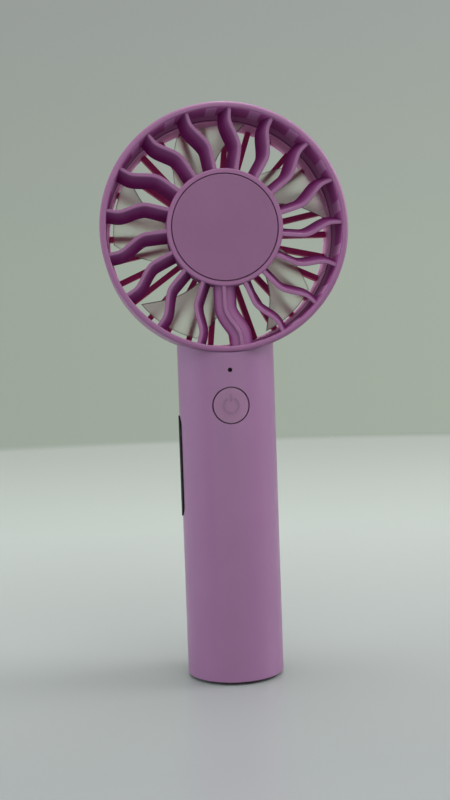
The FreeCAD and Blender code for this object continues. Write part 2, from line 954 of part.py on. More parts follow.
def build_impeller():
    hub_rear = can_back + size.impeller_hub_floor
    hub = turned(
        "impeller_hub",
        [
            (can_radius, -impeller_hub_front),
            (impeller_hub_radius, -impeller_hub_front),
            (impeller_hub_radius, hub_rear),
            (0, hub_rear),
            (0, can_back),
            (can_radius, can_back),
        ],
        height=head,
    )
    rounded(hub, "impeller_hub_edge", size.impeller_hub_round, [(impeller_hub_radius, hub_rear)])
    tip = number(impeller_radius)
    start = Vector(0, -tip, 0)
    forward = Vector(0, 1, 0)
    room = Part.makeCylinder(tip, tip * 2.0, start, forward)
    hollow_radius = number(can_radius + impeller_hub_radius) * HALF
    room = room.cut(Part.makeCylinder(hollow_radius, tip * 2.0, start, forward))
    blade = blade_solid().common(room)
    count = int(number(size.blade_count))
    wheel = []
    for index in range(count):
        turned_blade = blade.copy()
        turned_blade.rotate(Vector(), Vector(0, -1, 0), TURN * index / count)
        wheel.append(computed("blade_%d" % index, turned_blade, head))
    keep(fuse("impeller", hub, *wheel), "impeller")


# ---------------------------------------------------------------- motor


def build_rotor():
    bore = can_radius - size.can_wall
    can = turned(
        "rotor_can",
        [
            (bore, -magnet_front),
            (can_radius, -magnet_front),
            (can_radius, can_back),
            (size.shaft_radius, can_back),
            (size.shaft_radius, can_boss),
            (size.can_boss_radius, can_boss),
            (size.can_boss_radius, can_plate),
            (bore, can_plate),
        ],
        height=head,
    )
    keep(can, "rotor_can")
    inner = bore - size.magnet_thickness
    magnet = ring("magnet_ring", bore, inner, size.magnet_length, (0, -magnet_front, head), "y")
    keep(magnet, "magnet_ring")
    clip_y = floor_front - size.clip_thickness
    shaft_front = clip_y - size.clip_thickness
    shaft_length = can_back - shaft_front
    shaft = cylinder("motor_shaft", size.shaft_radius, shaft_length, (0, shaft_front, head), "y")
    keep(shaft, "motor_shaft")
    clip_at = (0, clip_y, head)
    clip = ring("shaft_clip", size.clip_radius, size.shaft_radius, size.clip_thickness, clip_at, "y")
    keep(clip, "shaft_clip")


def build_motor_mount():
    flange_y = floor_front - size.mount_flange_thickness
    mount = turned(
        "bearing_tube_body",
        [
            (size.bearing_radius, flange_y),
            (size.mount_flange_radius, flange_y),
            (size.mount_flange_radius, floor_front),
            (size.tube_radius, floor_front),
            (size.tube_radius, tube_back),
            (size.bearing_radius, tube_back),
        ],
        height=head,
    )
    holes = []
    heads = []
    shanks = []
    head_radius = size.motor_screw_head_radius
    head_height = size.motor_screw_head_height
    for index in range(motor_screws):
        at = motor_screw_place(index, flange_y)
        clear = size.motor_screw_radius + size.screw_clearance
        holes.append(cylinder("mount_hole", clear, size.mount_flange_thickness, at, "y"))
        shank_length = size.mount_flange_thickness + size.motor_screw_length
        shanks.append(cylinder("motor_screw_shank", size.motor_screw_radius, shank_length, at, "y"))
        above = motor_screw_place(index, flange_y - head_height)
        heads.append(cylinder("motor_screw_head", head_radius, head_height, above, "y"))
    keep(cut("bearing_tube", mount, *holes), "bearing_tube")
    keep(fuse("motor_screws", *shanks, *heads), "motor_screws")
    bore = size.shaft_radius + size.running_gap
    first = floor_front + size.clip_thickness
    outer = size.bearing_radius
    width = size.bearing_width
    keep(ring("front_bearing", outer, bore, width, (0, first, head), "y"), "front_bearing")
    keep(ring("rear_bearing", outer, bore, width, (0, tube_back - width, head), "y"), "rear_bearing")


def build_stator():
    front = -number(stator_front)
    length = number(size.stator_length)
    root_radius = number(size.stator_root_radius)
    outer = number(size.stator_radius)
    tip_inner = outer - number(size.tooth_tip)
    inner = number(size.tube_radius)
    width = number(size.tooth_width)
    count = int(number(size.stator_teeth))
    forward = Vector(0, 1, 0)
    start = Vector(0, front, 0)
    core = Part.makeCylinder(root_radius, length, start, forward)
    tips = Part.makeCylinder(outer, length, start, forward)
    tips = tips.cut(Part.makeCylinder(tip_inner, length, start, forward))
    coil_width = number(size.coil_width)
    hang = number(size.coil_overhang)
    gap = number(size.coil_gap)
    slot = number(size.tooth_slot)
    teeth = []
    coils = []
    for index in range(count):
        turn = TURN * index / count
        tooth = Part.makeBox(tip_inner + width * HALF, length, width, Vector(0, front, -width * HALF))
        tooth.rotate(Vector(), forward, turn)
        teeth.append(tooth)
        opening = Part.makeBox(outer * 2.0, length, slot, Vector(0, front, -slot * HALF))
        opening.rotate(Vector(), forward, turn + TURN * HALF / count)
        tips = tips.cut(opening)
        reach = math.sqrt(tip_inner**2 - (coil_width * HALF) ** 2) - root_radius - gap * 2.0
        corner = Vector(root_radius + gap, front - hang, -coil_width * HALF)
        coil = Part.makeBox(reach, length + hang * 2.0, coil_width, corner)
        vertical = [edge for edge in coil.Edges if abs(edge.tangentAt(0).x) > HALF]
        coil = coil.makeFillet(hang * HALF, vertical)
        hole_corner = Vector(root_radius, front - gap, -width * HALF - gap)
        hole = Part.makeBox(reach + gap * 2.0, length + gap * 2.0, width + gap * 2.0, hole_corner)
        coil = coil.cut(hole)
        coil.rotate(Vector(), forward, turn)
        coils.append(coil)
    core = core.fuse(teeth + [tips])
    core = core.cut(Part.makeCylinder(inner, length, start, forward))
    keep(computed("stator_core", core.removeSplitter(), head), "stator_core")
    keep(computed("stator_windings", Part.makeCompound(coils), head), "stator_windings")


def build_driver_board():
    flange_y = floor_front - size.mount_flange_thickness
    hole = size.mount_flange_radius + size.cap_gap
    outer = size.driver_board_radius
    thickness = size.driver_board_thickness
    board = ring("driver_board_ring", outer, hole, thickness, (0, flange_y, head), "y")
    keep(board, "driver_board")


# ---------------------------------------------------------------- wires


BEND_SHARE = 0.45
VOLUME_SLACK = 0.02


def tube_along(points, bend, radius):
    """A round wire along straight runs joined by tangent arcs."""
    edges = []
    start = points[0]
    for before, corner, after in zip(points, points[1:], points[2:]):
        toward = (before - corner).normalize()
        away = (after - corner).normalize()
        half_turn = (math.pi - toward.getAngle(away)) * HALF
        run = min((before - corner).Length, (after - corner).Length)
        leg = min(bend * math.tan(half_turn), run * BEND_SHARE)
        first = corner + toward * leg
        second = corner + away * leg
        inward = (toward + away).normalize()
        arc_radius = leg / math.tan(half_turn)
        centre = corner + inward * (arc_radius / math.cos(half_turn))
        middle = centre - inward * arc_radius
        edges.append(Part.LineSegment(start, first).toShape())
        edges.append(Part.Arc(first, middle, second).toShape())
        start = second
    edges.append(Part.LineSegment(start, points[-1]).toShape())
    path = Part.Wire(edges)
    face = Part.Circle(points[0], (points[1] - points[0]).normalize(), radius).toShape()
    tube = path.makePipeShell([Part.Wire([face])], True, True)
    expected = path.Length * math.pi * radius * radius
    if abs(tube.Volume - expected) > expected * VOLUME_SLACK:
        raise RuntimeError("wire volume is off")
    return tube


def build_motor_wires():
    """Three wires from the driver board, down the duct to the main board."""
    radius = number(size.motor_wire_radius)
    wire_start = size.driver_board_radius - size.motor_wire_inset
    pitch = number(size.motor_wire_pitch)
    middle_y = number(tunnel_front) + number(size.tunnel_depth) * HALF
    top = number(head)
    shift = duct_lean() * HALF
    route = []
    for reach in map(number, (wire_start, rib_bend_end, rib_bend_start)):
        angle = math.radians(duct_angle() + rib_angle(reach))
        side = Vector(-math.sin(angle), 0, math.cos(angle))
        route.append(Vector(reach * math.cos(angle), 0, reach * math.sin(angle) + top) + side * shift)
    low = number(board_top + size.wire_end_gap)
    route.append(Vector(route[-1].x, 0, low))
    wires = []
    for index in (-1, 0, 1):
        y = middle_y + pitch * index
        points = [Vector(point.x, y, point.z) for point in route]
        wires.append(tube_along(points, number(size.motor_wire_bend), radius))
    keep(computed("motor_wires", Part.makeCompound(wires)), "motor_wires")


# ---------------------------------------------------------------- handle


def flank_slot(name, length, width, inner, outer):
    """A stadium that points along X through the left flank."""
    straight = length - width
    half = width * HALF
    low = window_height - straight * HALF
    high = window_height + straight * HALF
    deep = outer - inner
    body = block(name + "_middle", (-outer, -half, low), (-inner, half, high))
    foot = cylinder(name + "_foot", half, deep, (-outer, 0, low), "x")
    crown = cylinder(name + "_crown", half, deep, (-outer, 0, high), "x")
    return fuse(name, body, foot, crown)


def socket_slot(name, gap, inner, outer):
    """The charging socket's outline, along Y through the back of the handle."""
    half_high = size.socket_thickness * HALF + gap
    side = size.socket_width * HALF - size.socket_thickness * HALF
    z = size.socket_height
    body = block(name + "_middle", (-side, inner, z - half_high), (side, outer, z + half_high))
    left = cylinder(name + "_left", half_high, outer - inner, (-side, inner, z), "y")
    right = cylinder(name + "_right", half_high, outer - inner, (side, inner, z), "y")
    return fuse(name, body, left, right)


def build_handle_shell():
    tube = turned(
        "handle_tube",
        [
            (handle_bore, tube_bottom),
            (handle_radius, tube_bottom),
            (handle_radius, head),
            (handle_bore, head),
        ],
        along="z",
    )
    rounded(tube, "tube_bottom_edge", size.tube_bottom_round, [(handle_radius, tube_bottom)], "z")
    saddle = head_cylinder("saddle_cut", size.drum_radius + size.saddle_gap)
    reach = handle_radius * 2.0
    inside = handle_radius * HALF
    deep = reach - inside
    button_room = size.button_radius + size.button_gap
    button = cylinder("button_hole", button_room, deep, (0, -reach, button_height), "y")
    lamp_room = size.lamp_radius + size.lamp_gap
    lamp = cylinder("lamp_hole", lamp_room, deep, (0, -reach, lamp_height), "y")
    window = flank_slot("window_hole", size.window_length, size.window_width, inside, reach)
    socket = socket_slot("socket_hole", size.socket_gap, inside, reach)
    keep(cut("handle_shell", tube, saddle, button, lamp, window, socket), "handle_shell")


base_screws = int(number(size.base_screw_count))


def base_screw_place(index, z):
    circle = handle_bore - size.base_screw_inset
    angle = math.radians(TURN * index / base_screws + number(size.base_screw_turn))
    return (circle * math.cos(angle), circle * math.sin(angle), z)


def build_base():
    foot_radius = handle_bore - size.foot_inset
    radius = handle_bore - size.cap_fit_gap
    disc = cylinder("base_disc", radius, size.base_thickness, (0, 0, tube_bottom))
    recess = cylinder("foot_recess", foot_radius + size.foot_gap, size.foot_recess, (0, 0, tube_bottom))
    pad = turned(
        "foot_pad",
        [
            (0, 0),
            (foot_radius, 0),
            (foot_radius, tube_bottom + size.foot_recess),
            (0, tube_bottom + size.foot_recess),
        ],
        along="z",
    )
    rounded(pad, "foot_edge", size.foot_edge_round, [(foot_radius, 0)], "z")
    keep(pad, "foot_pad")
    floor_z = tube_bottom + size.foot_recess
    tools = [recess]
    shanks = []
    heads = []
    clear = size.screw_radius + size.screw_clearance
    head_room = size.screw_head_radius + size.screw_clearance
    head_height = size.screw_head_height
    for index in range(base_screws):
        low_at = base_screw_place(index, tube_bottom)
        head_at = base_screw_place(index, floor_z)
        shank_at = base_screw_place(index, floor_z + head_height)
        tools.append(cylinder("base_hole", clear, size.base_thickness, low_at))
        tools.append(cylinder("base_counterbore", head_room, head_height, head_at))
        heads.append(cylinder("base_screw_head", size.screw_head_radius, head_height, head_at))
        shanks.append(cylinder("base_screw_shank", size.screw_radius, size.base_screw_length, shank_at))
    keep(cut("base_cap", disc, *tools), "base_cap")
    keep(fuse("base_screws", *shanks, *heads), "base_screws")


cradle_low = cell_bottom + size.cell_length * size.cradle_low_share


def build_inner_frame():
    """The moulded frame inside the handle: a spine at the back, with plates and cradles."""
    full = cylinder("frame_room", frame_radius, frame_top - cap_top, (0, 0, cap_top))
    wide = handle_radius
    spine_front = handle_bore - size.frame_spine_depth
    spine = block("frame_spine", (-wide, spine_front, cap_top), (wide, wide, frame_top))
    plates = []
    for name, z in (
        ("frame_floor", cap_top),
        ("frame_stop", size.stop_plate_base),
        ("frame_cradle_low", cradle_low),
        ("frame_cradle_high", cell_bottom + size.cell_length * size.cradle_high_share),
        ("frame_middle", mid_plate_z),
    ):
        front = -size.neck_flat if name != "frame_floor" else -wide
        plates.append(block(name, (-wide, front, z), (wide, wide, z + size.frame_plate)))
    crown_z = frame_top - size.frame_plate
    plates.append(block("frame_crown", (-wide, -size.neck_flat, crown_z), (wide, wide, frame_top)))
    posts = []
    webs = []
    half = size.board_post_width * HALF
    root_y = -size.cell_radius * HALF
    for side in (-1.0, 1.0):
        centre = board_screw_spread * side
        left = centre - half
        right = centre + half
        for z in board_screw_heights():
            post_low = (left, board_back, z - half)
            posts.append(block("board_post", post_low, (right, root_y, z + half)))
        web_low = (left, -size.neck_flat, board_bottom)
        webs.append(block("post_web", web_low, (right, root_y, frame_top)))
    solid = common("frame_in_tube", fuse("frame_pieces", spine, *plates, *posts, *webs), full)
    cell_room = cylinder(
        "cell_room",
        size.cell_radius + size.cell_gap,
        mid_plate_z - size.stop_plate_base - size.frame_plate,
        (0, size.cell_back, size.stop_plate_base + size.frame_plate),
    )
    channel_half = size.side_channel_width * HALF
    channel = block(
        "wire_channel",
        (side_channel_x, -channel_half, cap_top + size.frame_plate),
        (wide, channel_half, frame_top),
    )
    gauge_half = size.gauge_board_width * HALF + size.window_gap
    gauge_slot = block(
        "gauge_slot",
        (-wide, -gauge_half, size.stop_plate_base + size.frame_plate),
        (-gauge_board_x, gauge_half, mid_plate_z),
    )
    lens_half = size.window_width * HALF + size.window_flange + size.window_gap
    lens_reach = size.window_length * HALF + size.window_flange + size.window_gap
    lens_back = handle_bore - size.neck_gap - size.window_flange_thickness
    lens_inner = size.window_gap - root(lens_back * lens_back - lens_half * lens_half)
    lens_room = block(
        "lens_room",
        (-wide, -lens_half, window_height - lens_reach),
        (lens_inner, lens_half, window_height + lens_reach),
    )
    socket_room = block(
        "socket_room",
        (-size.charge_board_width * HALF - size.socket_gap, -wide, cap_top + size.charge_board_rail),
        (size.charge_board_width * HALF + size.socket_gap, wide, size.stop_plate_base),
    )
    holes = []
    for index in range(base_screws):
        at = base_screw_place(index, cap_top)
        holes.append(cylinder("frame_base_hole", size.screw_radius, size.frame_plate, at))
    for side in (-1.0, 1.0):
        at = (neck_screw_spread * side, size.neck_screw_back, crown_z)
        clear = size.screw_radius + size.screw_clearance
        holes.append(cylinder("frame_neck_hole", clear, size.frame_plate, at))
        for z in board_screw_heights():
            at = (board_screw_spread * side, board_back, z)
            deep = size.board_screw_length
            holes.append(cylinder("board_post_hole", size.board_screw_radius, deep, at, "y"))
    rooms = [cell_room, channel, gauge_slot, lens_room, socket_room]
    keep(cut("inner_frame", solid, *rooms, *holes), "inner_frame")


def board_screw_heights():
    half = size.board_post_width * HALF
    return (board_bottom + half, board_top - size.board_post_drop + half)


def build_neck_screws():
    crown_z = frame_top - size.frame_plate
    pieces = []
    for side in (-1.0, 1.0):
        x = neck_screw_spread * side
        y = size.neck_screw_back
        shank = cylinder("neck_screw_shank", size.screw_radius, size.neck_screw_length, (x, y, crown_z))
        height = size.screw_head_height
        top = cylinder("neck_screw_head", size.screw_head_radius, height, (x, y, crown_z - height))
        pieces += [shank, top]
    keep(fuse("neck_screws", *pieces), "neck_screws")


# ---------------------------------------------------------------- battery


def build_battery():
    middle = size.cell_back
    can = cylinder("cell_can", size.cell_radius, size.cell_length, (0, middle, cell_bottom))
    nub_at = (0, middle, cell_top)
    nub = cylinder("cell_button", size.cell_button_radius, size.cell_button_height, nub_at)
    keep(fuse("battery_cell", can, nub), "battery_cell")
    half = size.tab_width * HALF
    low_z = cell_bottom - size.tab_thickness
    reach = board_front + size.tab_thickness
    lower = block("lower_tab", (-half, -reach, low_z), (half, middle + half, cell_bottom))
    front_edge = size.cell_back - size.cell_radius * HALF
    upper_top = button_top + size.tab_thickness
    upper = block("upper_tab", (-half, front_edge, button_top), (half, middle + half, upper_top))
    keep(fuse("battery_tabs", lower, upper), "battery_tabs")
    low_pad_at = (0, middle, low_z - size.pad_thickness)
    pad_radius = size.cell_radius - size.pad_inset
    low_pad = cylinder("lower_pad", pad_radius, size.pad_thickness, low_pad_at)
    high_pad = cylinder("upper_pad", pad_radius, size.pad_thickness, (0, middle, upper_top))
    notch = size.wire_radius + size.cell_gap
    notch_top = upper_top + size.pad_thickness
    wire_room = block("pad_notch", (-notch, -handle_radius, upper_top), (notch, front_edge, notch_top))
    high_pad = cut("notched_pad", high_pad, wire_room)
    keep(fuse("battery_pads", low_pad, high_pad), "battery_pads")


# ---------------------------------------------------------------- main board and button


def build_main_board():
    width = board_half_width
    face = -board_front
    slab = block("board_slab", (-width, face, board_bottom), (width, board_back, board_top))
    holes = []
    shanks = []
    heads = []
    clear = size.board_screw_radius + size.screw_clearance
    length = size.board_thickness + size.board_screw_length
    head_radius = size.board_screw_head_radius
    head_height = size.motor_screw_head_height
    for side in (-1.0, 1.0):
        for z in board_screw_heights():
            x = board_screw_spread * side
            at = (x, face, z)
            holes.append(cylinder("board_hole", clear, size.board_thickness, at, "y"))
            shanks.append(cylinder("board_screw_shank", size.board_screw_radius, length, at, "y"))
            head_at = (x, face - head_height, z)
            heads.append(cylinder("board_screw_head", head_radius, head_height, head_at, "y"))
    keep(cut("main_board", slab, *holes), "main_board")
    keep(fuse("board_screws", *shanks, *heads), "board_screws")
    chips = []
    small_z = button_height + size.small_chip_above_button
    for x, z, side in (
        (0.0, board_bottom + size.chip_lift, size.chip_side),
        (-size.small_chip_spread, small_z, size.small_chip_side),
        (size.small_chip_spread, small_z, size.small_chip_side),
    ):
        half = side * HALF
        chip_low = (x - half, face - size.chip_height, z - half)
        chips.append(block("chip", chip_low, (x + half, face, z + half)))
    keep(fuse("board_chips", *chips), "board_chips")


def build_power_button():
    face = -board_front
    half = size.switch_side * HALF
    z = button_height
    top = face - size.switch_body_height
    case = block("switch_case", (-half, top, z - half), (half, face, z + half))
    well_radius = size.plunger_radius + size.plunger_clearance
    well_depth = size.plunger_in + size.button_travel + size.plunger_clearance
    well = cylinder("switch_well", well_radius, well_depth, (0, top, z), "y")
    keep(cut("switch_body", case, well), "switch_body")
    plunger_length = size.plunger_in + size.plunger_out
    tip = top - size.plunger_out
    plunger = cylinder("switch_plunger", size.plunger_radius, plunger_length, (0, tip, z), "y")
    keep(plunger, "switch_plunger")
    flange_outer = handle_bore - size.neck_gap
    flange_inner = flange_outer - size.button_flange_thickness
    far = (0, -long_enough, z)
    lid_round = cylinder("lid_round", size.button_radius, long_enough, far, "y")
    lid = common("button_lid", lid_round, ring_sector("lid_skin", handle_radius, flange_inner, z))
    flange_radius = size.button_radius + size.button_gap + size.button_flange
    flange_round = cylinder("flange_round", flange_radius, long_enough, far, "y")
    flange_skin = ring_sector("flange_skin", flange_outer, flange_inner, z)
    flange = common("button_flange", flange_round, flange_skin)
    stem_length = tip + handle_bore
    stem = cylinder("button_stem", size.button_stem_radius, stem_length, (0, -handle_bore, z), "y")
    symbol = computed("standby_symbol", standby_symbol())
    keep(fuse("power_button", lid, flange, stem, symbol), "power_button")


def ring_sector(name, outer, inner, z):
    """A stretch of tube wall about the handle's axis, round a height."""
    reach = size.button_radius * 2.0
    return ring(name, outer, inner, reach * 2.0, (0, 0, z - reach))


def standby_symbol():
    """A raised open circle with an upright bar, following the handle's curve."""
    z = number(button_height)
    radius = number(size.symbol_radius)
    half = number(size.symbol_width) * HALF
    outer = number(handle_radius)
    proud = number(size.symbol_height)
    start = Vector(0, -outer * 2.0, z)
    deep = outer * 2.0
    forward = Vector(0, 1, 0)
    loop = Part.makeCylinder(radius + half, deep, start, forward)
    loop = loop.cut(Part.makeCylinder(radius - half, deep, start, forward))
    gap = math.radians(number(size.symbol_opening) * HALF)
    across = Vector(deep * math.sin(gap), 0, 0)
    rise = Vector(0, 0, deep * math.cos(gap))
    wedge_points = [start, start + rise + across, start + rise - across, start]
    wedge = Part.Face(Part.makePolygon(wedge_points)).extrude(forward * deep)
    loop = loop.cut(wedge)
    bar_foot = start + Vector(-half, 0, number(size.symbol_bar_drop))
    bar = Part.makeBox(half * 2.0, deep, number(size.symbol_bar_length), bar_foot)
    shape = loop.fuse(bar)
    tall = number(size.button_radius) * 2.0
    shell = Part.makeCylinder(outer + proud, tall, Vector(0, 0, z - tall * HALF))
    shell = shell.cut(Part.makeCylinder(outer - proud, tall, Vector(0, 0, z - tall * HALF)))
    return shape.common(shell)


def build_lamp():
    z = lamp_height
    lamp_y = -board_front - size.lamp_led_height
    half = size.lamp_led_width * HALF
    led = block("lamp_led", (-half, lamp_y, z - half * HALF), (half, -board_front, z + half * HALF))
    keep(led, "power_led")
    end = lamp_y - size.window_gap
    pipe = cylinder("lamp_pipe", size.lamp_radius, end + handle_radius, (0, -handle_radius, z), "y")
    flange_start = -handle_bore + size.neck_gap
    flange_radius = size.lamp_radius + size.lamp_flange
    flange = cylinder("lamp_flange", flange_radius, end - flange_start, (0, flange_start, z), "y")
    keep(fuse("lamp_lens", pipe, flange), "lamp_lens")


# ---------------------------------------------------------------- gauge window


def build_gauge():
    gap = size.window_gap
    slot = flank_slot(
        "lens_outline",
        size.window_length - gap * 2.0,
        size.window_width - gap * 2.0,
        handle_radius * HALF,
        long_enough,
    )
    reach = size.window_length
    at = (0, 0, window_height - reach)
    outer = handle_bore - size.neck_gap
    inner = outer - size.window_flange_thickness
    skin = ring("lens_skin", handle_radius + size.window_proud, inner, reach * 2.0, at)
    wide_slot = flank_slot(
        "lens_flange_outline",
        size.window_length + size.window_flange * 2.0,
        size.window_width + size.window_flange * 2.0,
        handle_radius * HALF,
        long_enough,
    )
    flange_skin = ring("lens_flange_skin", outer, inner, reach * 2.0, at)
    front = common("lens_front", slot, skin)
    flange = common("lens_flange", wide_slot, flange_skin)
    keep(fuse("gauge_lens", front, flange), "gauge_lens")
    back = -gauge_board_x
    front = back - size.gauge_board_thickness
    half = size.gauge_board_width * HALF
    board_low = cradle_low
    board_high = mid_plate_z
    board = block("gauge_board", (front, -half, board_low), (back, half, board_high))
    keep(board, "gauge_board")
    lights = []
    count = int(number(size.gauge_led_count))
    side = size.gauge_led_side * HALF
    for index in range(count):
        z = window_height + size.gauge_led_pitch * (index - (count - 1) * HALF)
        low_corner = (front - size.gauge_led_height, -side, z - side)
        lights.append(block("gauge_light", low_corner, (front, side, z + side)))
    keep(fuse("gauge_leds", *lights), "gauge_leds")


# ---------------------------------------------------------------- charging socket


socket_half = size.socket_width * HALF
socket_mouth = root(handle_radius * handle_radius - socket_half * socket_half)
socket_outer = socket_mouth - size.socket_inset
charge_board_back = socket_outer - size.socket_inset
charge_board_front = charge_board_back - size.charge_board_length


def build_socket():
    outer = socket_outer
    inner = outer - size.socket_depth
    shell = socket_slot("socket_outside", 0.0, inner, outer)
    hollow = socket_slot("socket_inside", -size.socket_wall, inner + size.socket_wall, outer)
    keep(cut("usb_shell", shell, hollow), "usb_shell")
    half = size.tongue_plate_width * HALF
    thick = size.tongue_plate_thickness * HALF
    z = size.socket_height
    start = inner + size.socket_wall
    plate_end = start + size.tongue_plate_length
    keep(block("usb_plate", (-half, start, z - thick), (half, plate_end, z + thick)), "usb_tongue")
    top = size.socket_height - size.socket_thickness * HALF
    width = size.charge_board_width * HALF
    low = top - size.board_thickness
    board_low = (-width, charge_board_front, low)
    board = block("charge_board_slab", board_low, (width, charge_board_back, top))
    tube = cylinder("charge_board_room", frame_radius, size.board_thickness, (0, 0, low))
    keep(common("charge_board", board, tube), "charge_board")


# ---------------------------------------------------------------- battery and charge wires


SWAY_START = 0.2


def board_foot_point(x):
    """A point on the middle of the main board's lower edge."""
    return Vector(x, number(board_back) - number(size.board_thickness) * HALF, number(board_bottom))


def build_handle_wires():
    radius = number(size.wire_radius)
    bend = number(size.wire_bend)
    middle = number(size.cell_back)
    back = number(board_back)
    # from the upper tab straight to the main board
    upper_z = number(button_top) + number(size.tab_thickness) + radius
    front_edge = middle - number(size.cell_radius) * HALF
    start = Vector(0, front_edge - number(size.wire_end_gap), upper_z)
    plus = Part.makeCylinder(radius, start.y - back, start, Vector(0, -1, 0))
    keep(computed("battery_wire_plus", plus), "battery_wire_plus")
    # from the lower tab up the front of the cell
    top = board_foot_point(number(size.tab_width) * HALF - radius)
    foot = Vector(top.x, top.y, number(cell_bottom))
    rise = top - foot
    sway = Vector(radius * 2.0, radius, 0)
    minus = tube_along(
        [
            foot,
            foot + rise * SWAY_START,
            foot + rise * HALF + sway,
            top - rise * SWAY_START,
            top,
        ],
        number(size.minus_wire_bend),
        radius,
    )
    keep(computed("battery_wire_minus", minus), "battery_wire_minus")
    # from the charging board forward and up
    charge = []
    edge_y = number(charge_board_front)
    socket_foot = size.socket_height - size.socket_thickness * HALF
    edge_z = number(socket_foot - size.board_thickness * HALF)
    pitch = number(size.wire_lane)
    for lane in (1.0, 2.0):
        top = board_foot_point(-number(size.tab_width) * HALF - pitch * lane + radius)
        foot = Vector(top.x, edge_y, edge_z)
        corner = Vector(top.x, top.y, edge_z)
        charge.append(tube_along([foot, corner, top], bend, radius))
    keep(computed("charge_wires", Part.makeCompound(charge)), "charge_wires")
    # from the gauge board round to the main board
    gauge = []
    x = -number(gauge_board_x) - number(size.gauge_board_thickness) * HALF
    edge = -number(size.gauge_board_width) * HALF - radius * HALF
    thin = number(size.gauge_wire_radius)
    land = Vector(-number(board_half_width) + thin, back + thin * 2.0, 0)
    for lane in (1.0, 2.0, 3.0):
        lift = Vector(0, 0, number(mid_plate_z) - pitch * lane)
        corner = Vector(x + thin, (edge + back) * HALF - thin, 0)
        gauge.append(tube_along([Vector(x, edge, 0) + lift, corner + lift, land + lift], bend, thin))
    keep(computed("gauge_wires", Part.makeCompound(gauge)), "gauge_wires")


# ---------------------------------------------------------------- build, check and write

build_front_shell()
build_front_grille()
build_hub_cap()
build_rear_shell()
build_rear_grille()
build_impeller()
build_rotor()
build_motor_mount()
build_stator()
build_driver_board()
build_motor_wires()
build_handle_shell()
build_base()
build_inner_frame()
build_neck_screws()
build_battery()
build_main_board()
build_power_button()
build_lamp()
build_gauge()
build_socket()
build_handle_wires()
doc.recompute()

for feature in doc.Objects:
    if "Invalid" in feature.State or "Error" in feature.State:
        raise RuntimeError("%s failed to build" % feature.Label)
for part in parts:
    if part.Shape.isNull() or not part.Shape.isValid() or not part.Shape.Solids:
        raise RuntimeError("%s has no valid solid" % part.Label)

os.makedirs("parts", exist_ok=True)
for part in parts:
    part.Shape.exportStep(os.path.join("parts", part.Label + ".step"))
    print(part.Label, len(part.Shape.Solids), "solids", round(part.Shape.Volume, 1), "mm3")
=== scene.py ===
"""Looks of a battery handheld fan: finishes, socket contacts, stage, lamps and camera."""

import math

import bmesh
import bpy
from bpy.props import FloatProperty, FloatVectorProperty, PointerProperty
from mathutils import Matrix, Vector


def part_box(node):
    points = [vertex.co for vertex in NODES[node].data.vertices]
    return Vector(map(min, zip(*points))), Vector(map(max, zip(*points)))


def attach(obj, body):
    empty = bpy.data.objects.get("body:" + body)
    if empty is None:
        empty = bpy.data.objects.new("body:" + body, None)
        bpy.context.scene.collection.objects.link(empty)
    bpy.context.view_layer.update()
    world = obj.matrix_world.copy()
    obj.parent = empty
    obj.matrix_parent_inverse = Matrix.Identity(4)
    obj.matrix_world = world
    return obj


bl_info = {
    "name": "Handheld fan looks",
    "version": (1, 0, 0),
    "blender": (4, 5, 0),
    "location": "3D View > Sidebar > Fan",
    "description": "Dresses the packed handheld fan and sets its stage",
    "category": "Object",
}

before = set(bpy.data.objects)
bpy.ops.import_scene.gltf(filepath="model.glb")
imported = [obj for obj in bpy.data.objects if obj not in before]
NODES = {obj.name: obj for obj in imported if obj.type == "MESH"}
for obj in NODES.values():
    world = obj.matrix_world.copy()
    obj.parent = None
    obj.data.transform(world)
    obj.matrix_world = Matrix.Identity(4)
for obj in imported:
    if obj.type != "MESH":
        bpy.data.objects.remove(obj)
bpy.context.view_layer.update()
MM = 0.001

# moulded plastic: its blotches in colour and in sheen, its grain's relief, and how deep light goes into it
BLOTCH = 20.0 * MM
SHEEN_BLOTCH = 6.0 * MM
SHEEN_SPAN = 0.04
RELIEF = 0.02 * MM
RELIEF_STRENGTH = 0.3
PLASTIC_IOR = 1.5
SOFT_REACH = (1.6 * MM, 0.7 * MM, 1.4 * MM)

# the front grille's ribs, as the CAD source turns them, and the painted reflections on the patches of wall
# beside them
RIB_COUNT = 17
RIB_FIRST = math.radians(85.8)
PATCH_START = 0.28
PATCH_END = 0.53
PATCH_SOFT = 0.012
PATCH_FRONT = 1.2 * MM
PATCH_DEPTH = 14.5 * MM
PATCH_END_SOFT = 0.3 * MM

# the drum's inside: its wall, the painted light at its start behind the rim, the painted light on the lip
# before the seam, and the seam's line of painted shadow, whose dark tone the blades' painted outline shares
BORE_SKIN = 2.25 * MM
BORE_SKIN_SOFT = 0.15 * MM
ONSET = 0.8 * MM
FIRST_PAINTED_LIGHT = 1.6
LIP_DEPTH = 7.0 * MM
LIP_PAINTED_LIGHT = 0.85
SEAM_SHADOW = 0.45 * MM
SEAM_SOFT = 0.15 * MM
SHADOW_TONE = 0.05

# the ribs' side colour, a painted shade, by how much of a face's normal runs along the fan's axis: all of it
# up to the first share, and only the rest past the second
SIDE_FULL = 0.6
SIDE_NONE = 0.85
SIDE_REST = 0.3

# the milky blades: their roughness and how they bend light, and their dark outline, a painted shade, which
# is there where the normal and its eased copy agree less than the first share, and gone past the second
MILKY_ROUGHNESS = (0.54, 0.6)
MILKY_IOR = 1.2
EDGE_REACH = 0.9 * MM
EDGE_FULL = 0.88
EDGE_NONE = 0.985

# the raised symbol on the power button, which stands 0.2 mm proud, and the painted shade on its raised face
SYMBOL_HALF = 0.1 * MM
SYMBOL_SOFT = 0.03 * MM
SYMBOL_SHADE_TONE = 0.82

# the gold contacts on the socket's tongue
CONTACT_COUNT = 12
CONTACT_ROW = 0.9
CONTACT_SHARE = 0.3
CONTACT_THICKNESS = 0.04 * MM
CONTACT_EDGE = 0.01 * MM
CONTACT_INSETS = (1.2 * MM, 0.4 * MM)

